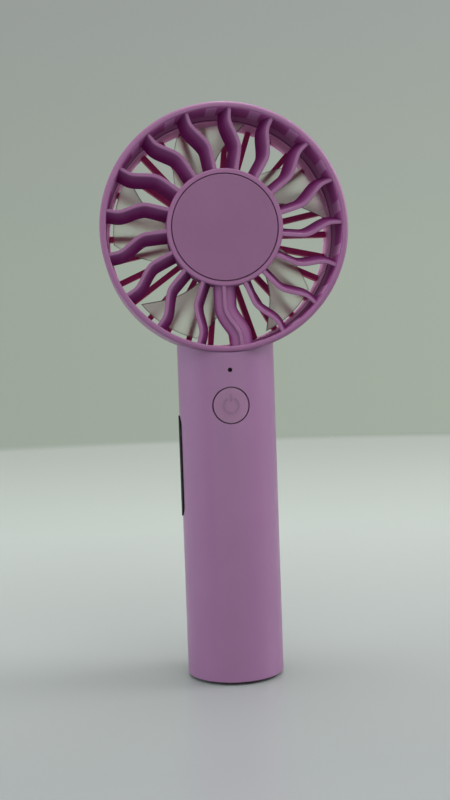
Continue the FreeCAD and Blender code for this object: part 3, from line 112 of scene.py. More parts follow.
# thickness of the motor's copper wire, and how many cells of the boards' pattern lie along a metre
COPPER_WIRE = 0.12 * MM
BOARD_CELLS = 450.0

# floor: where its colour goes from the painted shade near the camera to the middle, and from the middle to
# the painted light far behind the handle, and its gloss
FLOOR_BLOTCH = 0.25
FLOOR_VARIATION = 0.015
FLOOR_MIDDLE = (-0.1, 0.35)
FLOOR_FAR = (0.35, 1.1)
FLOOR_GLOSS_BLOTCH = 0.3
FLOOR_GLOSS = (0.27, 0.3)

# backdrop: the rise over which it turns greyer, and the stretch over which it brightens to the right with
# painted light
BACKDROP_RISE = (0.08, 0.3)
BACKDROP_SIDES = (-0.12, 0.3)
BACKDROP_LEVEL = (0.97, 1.06)

# lamps: place, width and height in metres, share of the set power, colour, and whether gloss mirrors it
AIM = (0.0, 0.0, 0.12)
LAMPS = (
    ("overhead", "overhead", (0.08, 0.05, 0.9), (0.5, 0.35), 1.0, (1.0, 1.0, 1.0), True),
    ("left_side", "sides", (-0.85, 0.1, 0.22), (0.9, 0.6), 1.15, (0.88, 1.0, 0.98), False),
    ("right_side", "sides", (0.9, 0.0, 0.55), (0.5, 0.5), 1.3, (1.0, 1.0, 1.0), True),
    ("front_window", "front", (0.2, -1.1, 1.3), (1.4, 1.0), 1.0, (1.0, 1.0, 1.0), True),
    ("low_bounce", "bounce", (0.0, -0.9, 0.04), (1.8, 0.4), 1.0, (1.0, 1.0, 1.0), True),
)


# ---------------------------------------------------------------- settings


def colour(name, description, default):
    """A plain colour setting, as linear red, green and blue."""
    return FloatVectorProperty(
        name=name, description=description, default=default, subtype="COLOR", size=3, min=0.0, max=1.0
    )


def length(name, description, default):
    """A length setting, in metres."""
    return FloatProperty(
        name=name, description=description, default=default, unit="LENGTH", subtype="DISTANCE"
    )


def share(name, description, default):
    """A setting between nothing and all."""
    return FloatProperty(
        name=name, description=description, default=default, min=0.0, max=1.0, subtype="FACTOR"
    )


def amount(name, description, default, least=0.0):
    """A plain number with a least value."""
    return FloatProperty(name=name, description=description, default=default, min=least)


def angle(name, description, degrees):
    """An angle setting, shown in degrees."""
    return FloatProperty(
        name=name, description=description, default=math.radians(degrees), unit="ROTATION", subtype="ANGLE"
    )


class FanColours(bpy.types.PropertyGroup):
    """Colours of the fan's finishes."""

    shell: colour("Shell", "Lilac of the handle and base cap", (0.220, 0.103, 0.212))
    head: colour("Head", "Lilac of the drum and grilles, a little pinker", (0.224, 0.084, 0.194))
    # painted shade and bounced light: the drum's inside is the head's lilac, painted more saturated
    wall: colour("Drum wall", "Deep lilac of the drum's inside, before the seam", (0.42, 0.115, 0.35))
    # painted reflection: the paler lilac on the wall beside each rib is a reflection painted into the colour
    reflection_patch: colour("Wall patches", "Paler lilac where the wall is thin, beside each rib", (0.58, 0.27, 0.54))
    # painted light: the drum's inside behind the seam is painted lighter for the light from the rear opening
    rear: colour("Rear wall", "Lighter lilac of the drum's inside, behind the seam", (0.78, 0.42, 0.68))
    # painted shade: the ribs' sides are the head's lilac, painted deeper for the shade between the ribs
    deep: colour("Rib sides", "Deep lilac of the ribs' sides", (0.235, 0.020, 0.170))
    # painted light: the ribs' sides near the front, where their painted shade starts lighter
    side: colour("Rib sides, near", "Lilac of the ribs' sides, near the front", (0.235, 0.083, 0.215))
    # painted shade and backlight: the spokes are the lilac plastic, painted wine for the shade they lie in
    # and the light through them
    spoke_painted_shade: colour("Spokes", "Wine of the thin rear spokes, which pass some light", (0.400, 0.032, 0.145))
    cap: colour("Cap", "Slightly darker lilac of the hub cap", (0.188, 0.074, 0.166))
    button: colour("Button", "Lilac of the power button", (0.224, 0.108, 0.203))
    blade: colour("Blades", "Milky plastic of the impeller", (0.97, 0.96, 0.93))
    lens: colour("Window", "Smoked plastic of the gauge window and lamp", (0.004, 0.0035, 0.004))
    rubber: colour("Foot", "Rubber of the foot pad", (0.022, 0.014, 0.022))
    floor: colour("Floor", "Pale floor, behind the fan", (0.402, 0.432, 0.411))
    # painted light: the far floor is lighter
    floor_far_painted_light: colour("Far floor", "Pale floor, at the backdrop", (0.495, 0.530, 0.495))
    # painted shade: the floor near the camera is darker
    floor_near_painted_shade: colour("Near floor", "Pale floor, near the camera", (0.236, 0.248, 0.250))
    backdrop: colour("Backdrop", "Pale backdrop, level with the fan", (0.345, 0.395, 0.335))
    backdrop_top: colour("Upper backdrop", "Greyer backdrop, high up", (0.325, 0.350, 0.330))


class FanFinish(bpy.types.PropertyGroup):
    """How the fan's plastic takes the light."""

    shell_roughness: share("Shell roughness", "Roughness of the satin lilac plastic", 0.36)
    head_roughness: share("Head roughness", "Roughness of the drum and grilles outside", 0.5)
    cap_roughness: share("Cap roughness", "Roughness of the hub cap", 0.5)
    drum_roughness: share("Drum roughness", "Roughness of the drum's inside", 0.7)
    rib_roughness: share("Rib roughness", "Roughness of the ribs' sides and the rear spokes", 0.55)
    drum_sheen: share("Drum sheen", "How strongly the drum's inside mirrors the room", 0.0)
    rib_sheen: share("Rib sheen", "How strongly the ribs' sides mirror the room", 0.04)
    through: share("Light through", "How much of the light passes through the blades", 1.0)
    grain: length("Grain", "Size of the moulded grain", 0.00035)


class FanStage(bpy.types.PropertyGroup):
    """Camera, floor and lamps."""

    camera_x: length("Camera X", "Camera place to the right of the handle", -0.03515)
    camera_y: length("Camera Y", "Camera place behind the handle, below nought in front", -0.4134)
    camera_z: length("Camera Z", "Camera height over the floor", 0.1237)
    yaw: angle("Yaw", "Turn of the camera to the right of straight ahead", 4.76)
    pitch: angle("Pitch", "Tilt of the camera over level", -2.37)
    roll: angle("Roll", "Turn of the camera about its own line of sight", -1.98)
    focal: amount("Focal length", "Lens length in millimetres", 32.12, 1.0)
    sensor: amount("Sensor height", "Sensor height in millimetres", 24.0, 1.0)
    floor_radius: length("Floor radius", "Where the floor has faded into the backdrop", 1.21)
    floor_fade: length("Floor fade", "Width of the band in which the floor fades", 0.12)
    dome: amount("Dome", "Strength of the even light from all around", 0.85)
    overhead: amount("Overhead lamp", "Power of the lamp above, in watts", 4.2)
    sides: amount("Side lamps", "Power that each side lamp has a share of, in watts", 4.8)
    front: amount("Front lamp", "Power of the lamp in front, in watts", 8.5)
    bounce: amount("Low lamp", "Power of the low lamp in front, in watts", 2.15)


# ---------------------------------------------------------------- materials


def fill(tree, made, **inputs):
    """Links or sets a node's inputs, named by their label or by an i and their number."""
    for key, value in inputs.items():
        numbered = key[0] == "i" and key[1:].isdigit()
        socket = made.inputs[int(key[1:]) if numbered else key.replace("_", " ")]
        if isinstance(value, bpy.types.NodeSocket):
            tree.links.new(value, socket)
        else:
            socket.default_value = value


def node(tree, kind, settings=None, **inputs):
    """Adds a node with its settings and its inputs."""
    made = tree.nodes.new(kind)
    for key, value in (settings or {}).items():
        setattr(made, key, value)
    fill(tree, made, **inputs)
    return made


def reckon(tree, operation, *values, clamp=False):
    """The result of a sum on one or two values."""
    inputs = {"i%d" % index: value for index, value in enumerate(values)}
    return node(tree, "ShaderNodeMath", {"operation": operation, "use_clamp": clamp}, **inputs).outputs[0]


def size_of(tree, vector):
    """The length of a vector."""
    return node(tree, "ShaderNodeVectorMath", {"operation": "LENGTH"}, i0=vector).outputs["Value"]


def scaled(tree, vector, factors):
    """A vector whose parts are each multiplied by a factor."""
    return node(tree, "ShaderNodeVectorMath", {"operation": "MULTIPLY"}, i0=vector, i1=factors).outputs[0]


def rgba(values):
    """A plain colour with full opacity."""
    return (values[0], values[1], values[2], 1.0)


def tint(values, factor):
    """A colour made lighter or darker."""
    return rgba([min(value * factor, 1.0) for value in values[:3]])


def new_material(name):
    """An empty material with its output and a Principled shader."""
    material = bpy.data.materials.new(name)
    material.use_nodes = True
    tree = material.node_tree
    tree.nodes.clear()
    output = tree.nodes.new("ShaderNodeOutputMaterial")
    shader = tree.nodes.new("ShaderNodeBsdfPrincipled")
    tree.links.new(shader.outputs["BSDF"], output.inputs["Surface"])
    return material, tree, shader


def output_of(tree):
    """The material's output."""
    return next(made for made in tree.nodes if made.type == "OUTPUT_MATERIAL")


def show_mix(tree, output, part, first, second):
    """Shows the first shader, and the second by a part from 0 to 1."""
    mixed = node(tree, "ShaderNodeMixShader", None, i0=part, i1=first.outputs[0], i2=second.outputs[0])
    tree.links.new(mixed.outputs[0], output.inputs["Surface"])


def place_of(tree):
    """The point on the surface, in metres in the fan's own frame."""
    return tree.nodes.new("ShaderNodeTexCoord").outputs["Object"]


def noise(tree, place, size, detail=2.0, roughness=0.5):
    """Noise whose blotches are about as large as size, in metres."""
    made = node(
        tree, "ShaderNodeTexNoise", None, Vector=place, Scale=1.0 / size, Detail=detail, Roughness=roughness
    )
    return made.outputs["Fac"]


def spread(tree, value, low, high, start=0.3, end=0.7):
    """Maps a value from the stretch start to end, a noise's own by default, to the stretch low to high."""
    made = node(tree, "ShaderNodeMapRange", {"clamp": True}, i0=value, i1=start, i2=end, i3=low, i4=high)
    return made.outputs["Result"]


def within(tree, value, start, end, soft):
    """1 where a value lies between two others, and 0 elsewhere."""
    rise = spread(tree, value, 0.0, 1.0, start - soft, start + soft)
    fall = spread(tree, value, 1.0, 0.0, end - soft, end + soft)
    return reckon(tree, "MULTIPLY", rise, fall)


def blend(tree, part, first, second):
    """A colour between two, by a part from 0 to 1."""
    made = node(tree, "ShaderNodeMix", {"data_type": "RGBA"}, i0=part, i6=first, i7=second)
    return made.outputs[2]


def mottled(tree, place, base, size, dark, light, detail=3.0):
    """A colour that turns darker and lighter by two factors, in blotches of a size in metres."""
    tone = spread(tree, noise(tree, place, size, detail), 0.0, 1.0)
    return blend(tree, tone, tint(base, dark), tint(base, light))


def bump(tree, height, depth, strength):
    """Surface relief of a depth in metres."""
    made = node(tree, "ShaderNodeBump", None, Height=height, Distance=depth, Strength=strength)
    return made.outputs["Normal"]


def satin(tree, place, roughness, grain, relief=RELIEF, strength=RELIEF_STRENGTH):
    """The uneven sheen and the fine grain of a moulding, as a roughness and a normal."""
    gloss = spread(tree, noise(tree, place, SHEEN_BLOTCH), roughness - SHEEN_SPAN, roughness + SHEEN_SPAN)
    return gloss, bump(tree, noise(tree, place, grain, 3.0, 0.6), relief, strength)


def moulded_plastic(
    name,
    base,
    roughness,
    grain,
    relief=RELIEF,
    strength=RELIEF_STRENGTH,
    variation=0.05,
    soft=0.0,
    raised=None,
):
    """Injection moulded plastic, darker with painted shade beyond the raised distance from the handle's
    axis.
    """
    material, tree, shader = new_material(name)
    place = place_of(tree)
    face = mottled(tree, place, base, BLOTCH, 1.0 - variation, 1.0 + variation)
    if raised is not None:
        reach = size_of(tree, scaled(tree, place, (1.0, 1.0, 0.0)))
        # painted shade on the raised symbol's face
        symbol_shade = spread(tree, reach, 0.0, 1.0, raised - SYMBOL_SOFT, raised + SYMBOL_SOFT)
        face = blend(tree, symbol_shade, face, tint(base, SYMBOL_SHADE_TONE))
    gloss, grained = satin(tree, place, roughness, grain, relief, strength)
    fill(tree, shader, Base_Color=face, Roughness=gloss, Normal=grained, IOR=PLASTIC_IOR)
    if soft:
        fill(tree, shader, Subsurface_Weight=soft, Subsurface_Radius=SOFT_REACH, Subsurface_Scale=1.0)
    return material


def from_head(tree, place):
    """Sideways, upward and backward distance from the head's axis."""
    low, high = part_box("front_shell")
    centre = high.z - (high.x - low.x) / 2
    split = node(tree, "ShaderNodeSeparateXYZ", None, Vector=place)
    return split.outputs["X"], reckon(tree, "SUBTRACT", split.outputs["Z"], centre), split.outputs["Y"]


def reflection_beside_ribs(tree, place):
    """1 on the patches of wall beside each rib, from the rim to the rib's depth, where a reflection is
    painted.
    """
    sideways, up, back = from_head(tree, place)
    past = reckon(tree, "SUBTRACT", reckon(tree, "ARCTAN2", up, sideways), RIB_FIRST)
    share_of_pitch = reckon(tree, "FRACT", reckon(tree, "MULTIPLY", past, RIB_COUNT / math.tau))
    across = within(tree, share_of_pitch, PATCH_START, PATCH_END, PATCH_SOFT)
    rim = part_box("front_shell")[0].y
    along = within(tree, back, rim + PATCH_FRONT, rim + PATCH_DEPTH, PATCH_END_SOFT)
    return reckon(tree, "MULTIPLY", across, along)


def sideward(tree):
    """1 on surfaces whose normal lies square to the fan's axis, and less on those that face along it."""
    normal = tree.nodes.new("ShaderNodeNewGeometry").outputs["Normal"]
    along = node(tree, "ShaderNodeSeparateXYZ", None, Vector=normal).outputs["Y"]
    return spread(tree, reckon(tree, "ABSOLUTE", along), 1.0, SIDE_REST, SIDE_FULL, SIDE_NONE)


def shell_plastic(name, base, deep, roughness, grain, inner=None, starts=(0.0, 1.0), reflection_patch=None, near=None):
    """Satin outside, and duller inside with painted shade and light in a deeper colour, from a depth behind
    the front rim.
    """
    material, tree, shader = new_material(name)
    place = place_of(tree)
    face = mottled(tree, place, base, BLOTCH, 0.97, 1.03)
    gloss, grained = satin(tree, place, roughness, grain)
    fill(tree, shader, Base_Color=face, Roughness=gloss, Normal=grained)
    if inner is None:
        return material
    inner_roughness, inner_sheen = inner
    low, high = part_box("front_shell")
    bore = (high.x - low.x) / 2 - BORE_SKIN
    start, end = low.y + starts[0], low.y + starts[1]
    sideways, up, back = from_head(tree, place)
    reach = size_of(tree, node(tree, "ShaderNodeCombineXYZ", None, X=sideways, Y=up, Z=0.0).outputs[0])
    inside = spread(tree, reach, 1.0, 0.0, bore, bore + BORE_SKIN_SOFT)
    depth = reckon(tree, "MULTIPLY", inside, spread(tree, back, 0.0, 1.0, start, start + ONSET))
    # painted shade on the ribs' sides only, and not on their fronts
    if near is not None:
        depth = reckon(tree, "MULTIPLY", depth, sideward(tree))
    # painted light just behind the rim, turning into painted shade further in
    first = tint(deep, FIRST_PAINTED_LIGHT) if near is None else rgba(near)
    painted_depth_shade = spread(tree, back, 0.0, 1.0, start, end)
    hidden = blend(tree, painted_depth_shade, first, mottled(tree, place, deep, BLOTCH, 0.94, 1.06))
    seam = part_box("rear_shell")[0].y
    if reflection_patch is not None:
        # painted reflection on the wall beside each rib
        hidden = blend(tree, reflection_beside_ribs(tree, place), hidden, rgba(reflection_patch))
        # painted light: the wall turns paler over the lip before the seam
        painted_light_before_seam = spread(tree, back, 0.0, 1.0, low.y + PATCH_DEPTH, seam - LIP_DEPTH)
        hidden = blend(tree, painted_light_before_seam, hidden, tint(reflection_patch, LIP_PAINTED_LIGHT))
    if near is None:
        # painted shadow in the seam's groove
        shadow = within(tree, back, seam - SEAM_SHADOW, seam + SEAM_SHADOW, SEAM_SOFT)
        hidden = blend(tree, shadow, hidden, tint(deep, SHADOW_TONE))
    dull = node(
        tree,
        "ShaderNodeBsdfPrincipled",
        None,
        Base_Color=hidden,
        Roughness=inner_roughness,
        Specular_IOR_Level=inner_sheen,
        Normal=grained,
    )
    show_mix(tree, output_of(tree), depth, shader, dull)
    return material


def near_edge(tree, reach):
    """1 along the sharp edges of a piece, and 0 farther from them."""
    normal = tree.nodes.new("ShaderNodeNewGeometry").outputs["Normal"]
    eased = node(tree, "ShaderNodeBevel", {"samples": 6}, Radius=reach).outputs["Normal"]
    agreement = node(tree, "ShaderNodeVectorMath", {"operation": "DOT_PRODUCT"}, i0=normal, i1=eased)
    return spread(tree, agreement.outputs["Value"], 1.0, 0.0, EDGE_FULL, EDGE_NONE)


def milky_plastic(name, base, through):
    """Frosted milky plastic of the impeller, which passes a blurred light from behind."""
    material, tree, shader = new_material(name)
    place = place_of(tree)
    face = mottled(tree, place, base, 12.0 * MM, 0.96, 1.03)
    fill(
        tree,
        shader,
        # painted shade: a dark outline along the blades' edges
        Base_Color=blend(tree, near_edge(tree, EDGE_REACH), face, tint(base, SHADOW_TONE)),
        Roughness=spread(tree, noise(tree, place, 4.0 * MM), *MILKY_ROUGHNESS),
        Normal=bump(tree, noise(tree, place, 0.8 * MM), 0.01 * MM, 0.2),
        IOR=MILKY_IOR,
        Transmission_Weight=through,
    )
    return material


def smoked_plastic(name, base):
    """Dark window plastic with faint smears."""
    material, tree, shader = new_material(name)
    place = place_of(tree)
    fill(
        tree,
        shader,
        Base_Color=mottled(tree, place, base, 8.0 * MM, 0.8, 1.25, 4.0),
        Roughness=spread(tree, noise(tree, place, 3.0 * MM, 3.0), 0.4, 0.5),
        Specular_IOR_Level=0.03,
    )
    return material


def rubber(name, base, grain=0.4 * MM):
    """Dull rubber with a fine dry grain."""
    material, tree, shader = new_material(name)
    place = place_of(tree)
    fill(
        tree,
        shader,
        Base_Color=mottled(tree, place, base, 4.0 * MM, 0.8, 1.2, 4.0),
        Roughness=spread(tree, noise(tree, place, 1.0 * MM), 0.62, 0.8),
        Normal=bump(tree, noise(tree, place, grain, 4.0), 0.03 * MM, 0.4),
    )
    return material


def worked_metal(name, base, roughness, stretch=(1.0, 1.0, 1.0), line=0.3 * MM, depth=0.008 * MM):
    """Metal with the fine lines that turning, drawing or stamping leaves."""
    material, tree, shader = new_material(name)
    place = place_of(tree)
    lines = noise(tree, scaled(tree, place, stretch), line, 3.0)
    fill(
        tree,
        shader,
        Base_Color=mottled(tree, place, base, 5.0 * MM, 0.88, 1.08),
        Roughness=spread(tree, lines, roughness - 0.08, roughness + 0.1),
        Normal=bump(tree, lines, depth, 0.35),
        Metallic=1.0,
    )
    return material


def wound_copper(name, base):
    """Lacquered copper wire laid side by side round each tooth."""
    material, tree, shader = new_material(name)
    place = place_of(tree)
    turns = node(
        tree,
        "ShaderNodeTexWave",
        {"wave_type": "RINGS", "rings_direction": "Y"},
        Vector=place,
        Scale=0.5 / (math.tau * COPPER_WIRE),
        Distortion=0.4,
        Detail=1.0,
    ).outputs["Fac"]
    fill(
        tree,
        shader,
        # painted shade in the creases between the turns, where the colour darkens
        Base_Color=blend(tree, turns, tint(base, 0.45), tint(base, 1.05)),
        Roughness=spread(tree, noise(tree, place, 1.0 * MM), 0.22, 0.36),
        Normal=bump(tree, turns, 0.08 * MM, 0.6),
        Metallic=0.85,
    )
    return material


def circuit_board(name, base):
    """Green solder mask over a faint copper pattern."""
    material, tree, shader = new_material(name)
    place = place_of(tree)
    pattern = {"feature": "DISTANCE_TO_EDGE", "distance": "MANHATTAN"}
    cells = node(tree, "ShaderNodeTexVoronoi", pattern, Vector=place, Scale=BOARD_CELLS)
    track = spread(tree, cells.outputs["Distance"], 1.0, 0.0, 0.03, 0.06)
    fill(
        tree,
        shader,
        Base_Color=blend(tree, track, rgba(base), tint(base, 1.7)),
        Roughness=spread(tree, noise(tree, place, 2.0 * MM), 0.24, 0.34),
        Normal=bump(tree, track, 0.03 * MM, 0.5),
    )
    return material


def insulated_wire(name, base):
    """Soft wire sleeve."""
    return moulded_plastic(name, base, 0.45, 0.5 * MM, 0.01 * MM, 0.2, 0.08)


def dress(material, *names):
    """Puts one material on the named CAD nodes."""
    for name in names:
        mesh = NODES[name].data
        mesh.materials.clear()
        mesh.materials.append(material)


def add_piece(name, bm, material, body="root"):
    """Turns a bmesh into a piece that rides on a body."""
    mesh = bpy.data.meshes.new(name)
    bm.to_mesh(mesh)
    bm.free()
    made = bpy.data.objects.new(name, mesh)
    bpy.context.scene.collection.objects.link(made)
    mesh.materials.append(material)
    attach(made, body)


def rounded_bar(bm, low, high, edge):
    """Adds a box with softened edges."""
    placed = Matrix.Translation((low + high) / 2) @ Matrix.Diagonal((*(high - low), 1.0))
    made = bmesh.ops.create_cube(bm, size=1.0, matrix=placed)
    edges = list({line for corner in made["verts"] for line in corner.link_edges})
    bmesh.ops.bevel(bm, geom=edges, offset=edge, segments=2, affect="EDGES", profile=0.5)


# ---------------------------------------------------------------- operators


class FAN_OT_shell(bpy.types.Operator):
    """Finish the handle, drum, grilles and base cap."""

    bl_idname = "fan.shell"
    bl_label = "Shell"

    def execute(self, context):
        colours = context.scene.fan_colours
        finish = context.scene.fan_finish
        smooth, grain = finish.shell_roughness, finish.grain
        wall = (finish.drum_roughness, finish.drum_sheen)
        sides = (finish.rib_roughness, finish.rib_sheen)
        rim = (0.5 * MM, 2.0 * MM)
        nose = (1.2 * MM, 9.0 * MM)
        dull = finish.head_roughness
        lilac = shell_plastic("lilac satin", colours.shell, colours.shell, smooth, grain)
        drum = shell_plastic("lilac drum", colours.head, colours.wall, dull, grain, wall, rim, colours.reflection_patch)
        # the rear shell's inside carries painted light
        rear = shell_plastic("lilac rear", colours.head, colours.rear, dull, grain, wall, rim)
        ribbed = shell_plastic(
            "lilac ribs", colours.head, colours.deep, dull, grain, sides, nose, near=colours.side
        )
        spokes = shell_plastic("spokes painted shade", colours.spoke_painted_shade, colours.spoke_painted_shade, smooth, grain, sides, rim)
        dress(lilac, "handle_shell", "base_cap")
        dress(drum, "front_shell")
        dress(rear, "rear_shell")
        dress(ribbed, "front_grille")
        dress(spokes, "rear_grille")
        return {"FINISHED"}


class FAN_OT_cap(bpy.types.Operator):
    """Finish the hub cap and the power button."""

    bl_idname = "fan.cap"
    bl_label = "Cap and button"

    def execute(self, context):
        colours = context.scene.fan_colours
        finish = context.scene.fan_finish
        cap = moulded_plastic("lilac cap", colours.cap, finish.cap_roughness, finish.grain, soft=0.08)
        symbol = -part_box("power_button")[0].y - SYMBOL_HALF
        smooth = finish.shell_roughness
        button = moulded_plastic(
            "lilac button", colours.button, smooth, finish.grain, strength=0.15, raised=symbol
        )
        dress(cap, "hub_cap")
        dress(button, "power_button")
        return {"FINISHED"}


class FAN_OT_impeller(bpy.types.Operator):
    """Finish the milky impeller."""

    bl_idname = "fan.impeller"
    bl_label = "Impeller"

    def execute(self, context):
        scene = context.scene
        milky = milky_plastic("milky blades", scene.fan_colours.blade, scene.fan_finish.through)
        dress(milky, "impeller")
        return {"FINISHED"}


class FAN_OT_windows(bpy.types.Operator):
    """Finish the gauge window and the lamp's light pipe."""

    bl_idname = "fan.windows"
    bl_label = "Windows"

    def execute(self, context):
        dress(smoked_plastic("smoked window", context.scene.fan_colours.lens), "gauge_lens", "lamp_lens")
        return {"FINISHED"}


class FAN_OT_foot(bpy.types.Operator):
    """Finish the foot pad and the foam pads at the cell's ends."""

    bl_idname = "fan.foot"
    bl_label = "Foot and pads"

    def execute(self, context):
        dress(rubber("foot rubber", context.scene.fan_colours.rubber), "foot_pad")
        dress(rubber("cell foam", (0.05, 0.05, 0.052), 0.8 * MM), "battery_pads")
        return {"FINISHED"}


class FAN_OT_motor(bpy.types.Operator):
    """Finish the motor's metal pieces and windings."""

    bl_idname = "fan.motor"
    bl_label = "Motor"

    def execute(self, context):
        dress(worked_metal("drawn steel", (0.55, 0.55, 0.56), 0.32, (1.0, 0.1, 1.0)), "rotor_can")
        ground = worked_metal("ground steel", (0.62, 0.62, 0.63), 0.2, (0.3, 3.0, 0.3))
        dress(ground, "motor_shaft", "shaft_clip")
        dress(worked_metal("bearing steel", (0.66, 0.66, 0.67), 0.16), "front_bearing", "rear_bearing")
        dress(worked_metal("turned brass", (0.62, 0.44, 0.16), 0.28, (0.2, 3.0, 0.2)), "bearing_tube")
        sheets = worked_metal("core sheets", (0.22, 0.22, 0.24), 0.45, (0.2, 6.0, 0.2), 0.6 * MM, 0.04 * MM)
        dress(sheets, "stator_core")
        dress(wound_copper("copper turns", (0.55, 0.21, 0.07)), "stator_windings")
        dress(rubber("pressed ferrite", (0.018, 0.018, 0.019), 0.3 * MM), "magnet_ring")
        return {"FINISHED"}


class FAN_OT_screws(bpy.types.Operator):
    """Finish the screws."""

    bl_idname = "fan.screws"
    bl_label = "Screws"

    def execute(self, context):
        zinc = worked_metal("zinc plate", (0.45, 0.45, 0.44), 0.34)
        dress(zinc, "motor_screws", "base_screws", "neck_screws", "board_screws")
        return {"FINISHED"}


class FAN_OT_frame(bpy.types.Operator):
    """Finish the inner frame."""

    bl_idname = "fan.inner_frame"
    bl_label = "Inner frame"

    def execute(self, context):
        dress(moulded_plastic("frame plastic", (0.022, 0.022, 0.024), 0.5, 0.5 * MM), "inner_frame")
        return {"FINISHED"}


class FAN_OT_battery(bpy.types.Operator):
    """Finish the cell and its tabs."""

    bl_idname = "fan.battery"
    bl_label = "Battery"

    def execute(self, context):
        sleeve = (0.012, 0.07, 0.24)
        wrap = moulded_plastic("shrink sleeve", sleeve, 0.28, 1.2 * MM, 0.03 * MM, 0.25, 0.1)
        dress(wrap, "battery_cell")
        dress(worked_metal("nickel strip", (0.6, 0.58, 0.54), 0.26, (4.0, 0.4, 1.0)), "battery_tabs")
        return {"FINISHED"}


class FAN_OT_boards(bpy.types.Operator):
    """Finish the circuit boards, chips, switch and small lamps."""

    bl_idname = "fan.boards"
    bl_label = "Boards"

    def execute(self, context):
        mask = circuit_board("solder mask", (0.008, 0.075, 0.028))
        dress(mask, "main_board", "driver_board", "gauge_board", "charge_board")
        resin = moulded_plastic("chip resin", (0.008, 0.008, 0.009), 0.55, 0.2 * MM)
        dress(resin, "board_chips", "switch_body", "usb_tongue")
        dress(moulded_plastic("switch plunger", (0.28, 0.012, 0.01), 0.4, 0.3 * MM), "switch_plunger")
        clear = moulded_plastic("lamp resin", (0.78, 0.74, 0.52), 0.18, 0.4 * MM, soft=0.3)
        dress(clear, "power_led", "gauge_leds")
        return {"FINISHED"}


class FAN_OT_socket(bpy.types.Operator):
    """Finish the charging socket and add its gold contacts."""

    bl_idname = "fan.socket"
    bl_label = "Charging socket"

    def execute(self, context):
        dress(worked_metal("socket shell", (0.58, 0.58, 0.59), 0.24, (3.0, 0.3, 1.0)), "usb_shell")
        gold = worked_metal("contact gold", (0.83, 0.55, 0.18), 0.2)
        low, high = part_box("usb_tongue")
        bm = bmesh.new()
        pitch = (high.x - low.x) * CONTACT_ROW / CONTACT_COUNT
        half = pitch * CONTACT_SHARE
        front, back = low.y + CONTACT_INSETS[0], high.y - CONTACT_INSETS[1]
        for index in range(CONTACT_COUNT):
            x = pitch * (index - (CONTACT_COUNT - 1) / 2)
            for face in (low.z - CONTACT_THICKNESS, high.z):
                start = Vector((x - half, front, face))
                end = Vector((x + half, back, face + CONTACT_THICKNESS))
                rounded_bar(bm, start, end, CONTACT_EDGE)
        add_piece("socket_contacts", bm, gold)
        return {"FINISHED"}


class FAN_OT_wires(bpy.types.Operator):
    """Finish the wires inside."""

    bl_idname = "fan.wires"
    bl_label = "Wires"

    def execute(self, context):
        dress(insulated_wire("red sleeve", (0.36, 0.01, 0.008)), "battery_wire_plus", "charge_wires")
        dress(insulated_wire("black sleeve", (0.008, 0.008, 0.008)), "battery_wire_minus")
        dress(insulated_wire("blue sleeve", (0.012, 0.03, 0.25)), "motor_wires", "gauge_wires")
        return {"FINISHED"}


def look_rotation(yaw, pitch, roll):
    """The camera's turn: -Z looks along the sight line and +Y is up."""
    flat = math.cos(pitch)
    forward = Vector((math.sin(yaw) * flat, math.cos(yaw) * flat, math.sin(pitch)))
    level = Vector((math.cos(yaw), -math.sin(yaw), 0.0))
    upright = level.cross(forward)
    right = level * math.cos(roll) + upright * math.sin(roll)
    up = upright * math.cos(roll) - level * math.sin(roll)
    return Matrix((right, up, -forward)).transposed()


def area_lamp(name, place, size, power, tone, mirrored):
    """A soft rectangular lamp that points at the fan."""
    data = bpy.data.lights.new(name, "AREA")
    data.shape = "RECTANGLE"
    data.size, data.size_y = size
    data.energy = power
    data.color = tone
    made = bpy.data.objects.new(name, data)
    made.location = place
    made.rotation_euler = (Vector(AIM) - Vector(place)).to_track_quat("-Z", "Y").to_euler()
    made.visible_glossy = mirrored
    bpy.context.scene.collection.objects.link(made)


def seen_directly(tree):
    """1 for rays from the camera, mirrors and glass, and 0 for the rays that light things."""
    paths = tree.nodes.new("ShaderNodeLightPath").outputs
    sharp = reckon(tree, "MAXIMUM", paths["Is Camera Ray"], paths["Is Glossy Ray"])
    seen = reckon(tree, "MAXIMUM", sharp, paths["Is Transmission Ray"])
    return reckon(tree, "SUBTRACT", seen, paths["Is Diffuse Ray"], clamp=True)


def floor_material(colours, stage):
    """Pale floor, with painted shade near the camera and painted light far off, that fades into the
    backdrop's colour at its edge.
    """
    material, tree, shader = new_material("pale floor")
    place = place_of(tree)
    near, middle = (
        mottled(tree, place, base, FLOOR_BLOTCH, 1.0 - FLOOR_VARIATION, 1.0 + FLOOR_VARIATION, 2.0)
        for base in (colours.floor_near_painted_shade, colours.floor)
    )
    depth = node(tree, "ShaderNodeSeparateXYZ", None, Vector=place).outputs["Y"]
    # painted shade near the camera
    graded = blend(tree, spread(tree, depth, 0.0, 1.0, *FLOOR_MIDDLE), near, middle)
    # painted light far off
    farthest = spread(tree, depth, 0.0, 1.0, *FLOOR_FAR)
    gloss = spread(tree, noise(tree, place, FLOOR_GLOSS_BLOTCH, 1.0), *FLOOR_GLOSS)
    far = rgba(colours.floor_far_painted_light)
    fill(tree, shader, Base_Color=blend(tree, farthest, graded, far), Roughness=gloss)
    fade = node(
        tree,
        "ShaderNodeMapRange",
        {"interpolation_type": "SMOOTHSTEP"},
        i0=size_of(tree, place),
        i1=stage.floor_radius - stage.floor_fade,
        i2=stage.floor_radius,
        i3=0.0,
        i4=1.0,
    )
    glow = node(tree, "ShaderNodeEmission", None, Color=rgba(colours.backdrop), Strength=1.0)
    gate = reckon(tree, "MULTIPLY", fade.outputs["Result"], seen_directly(tree))
    show_mix(tree, output_of(tree), gate, shader, glow)
    return material


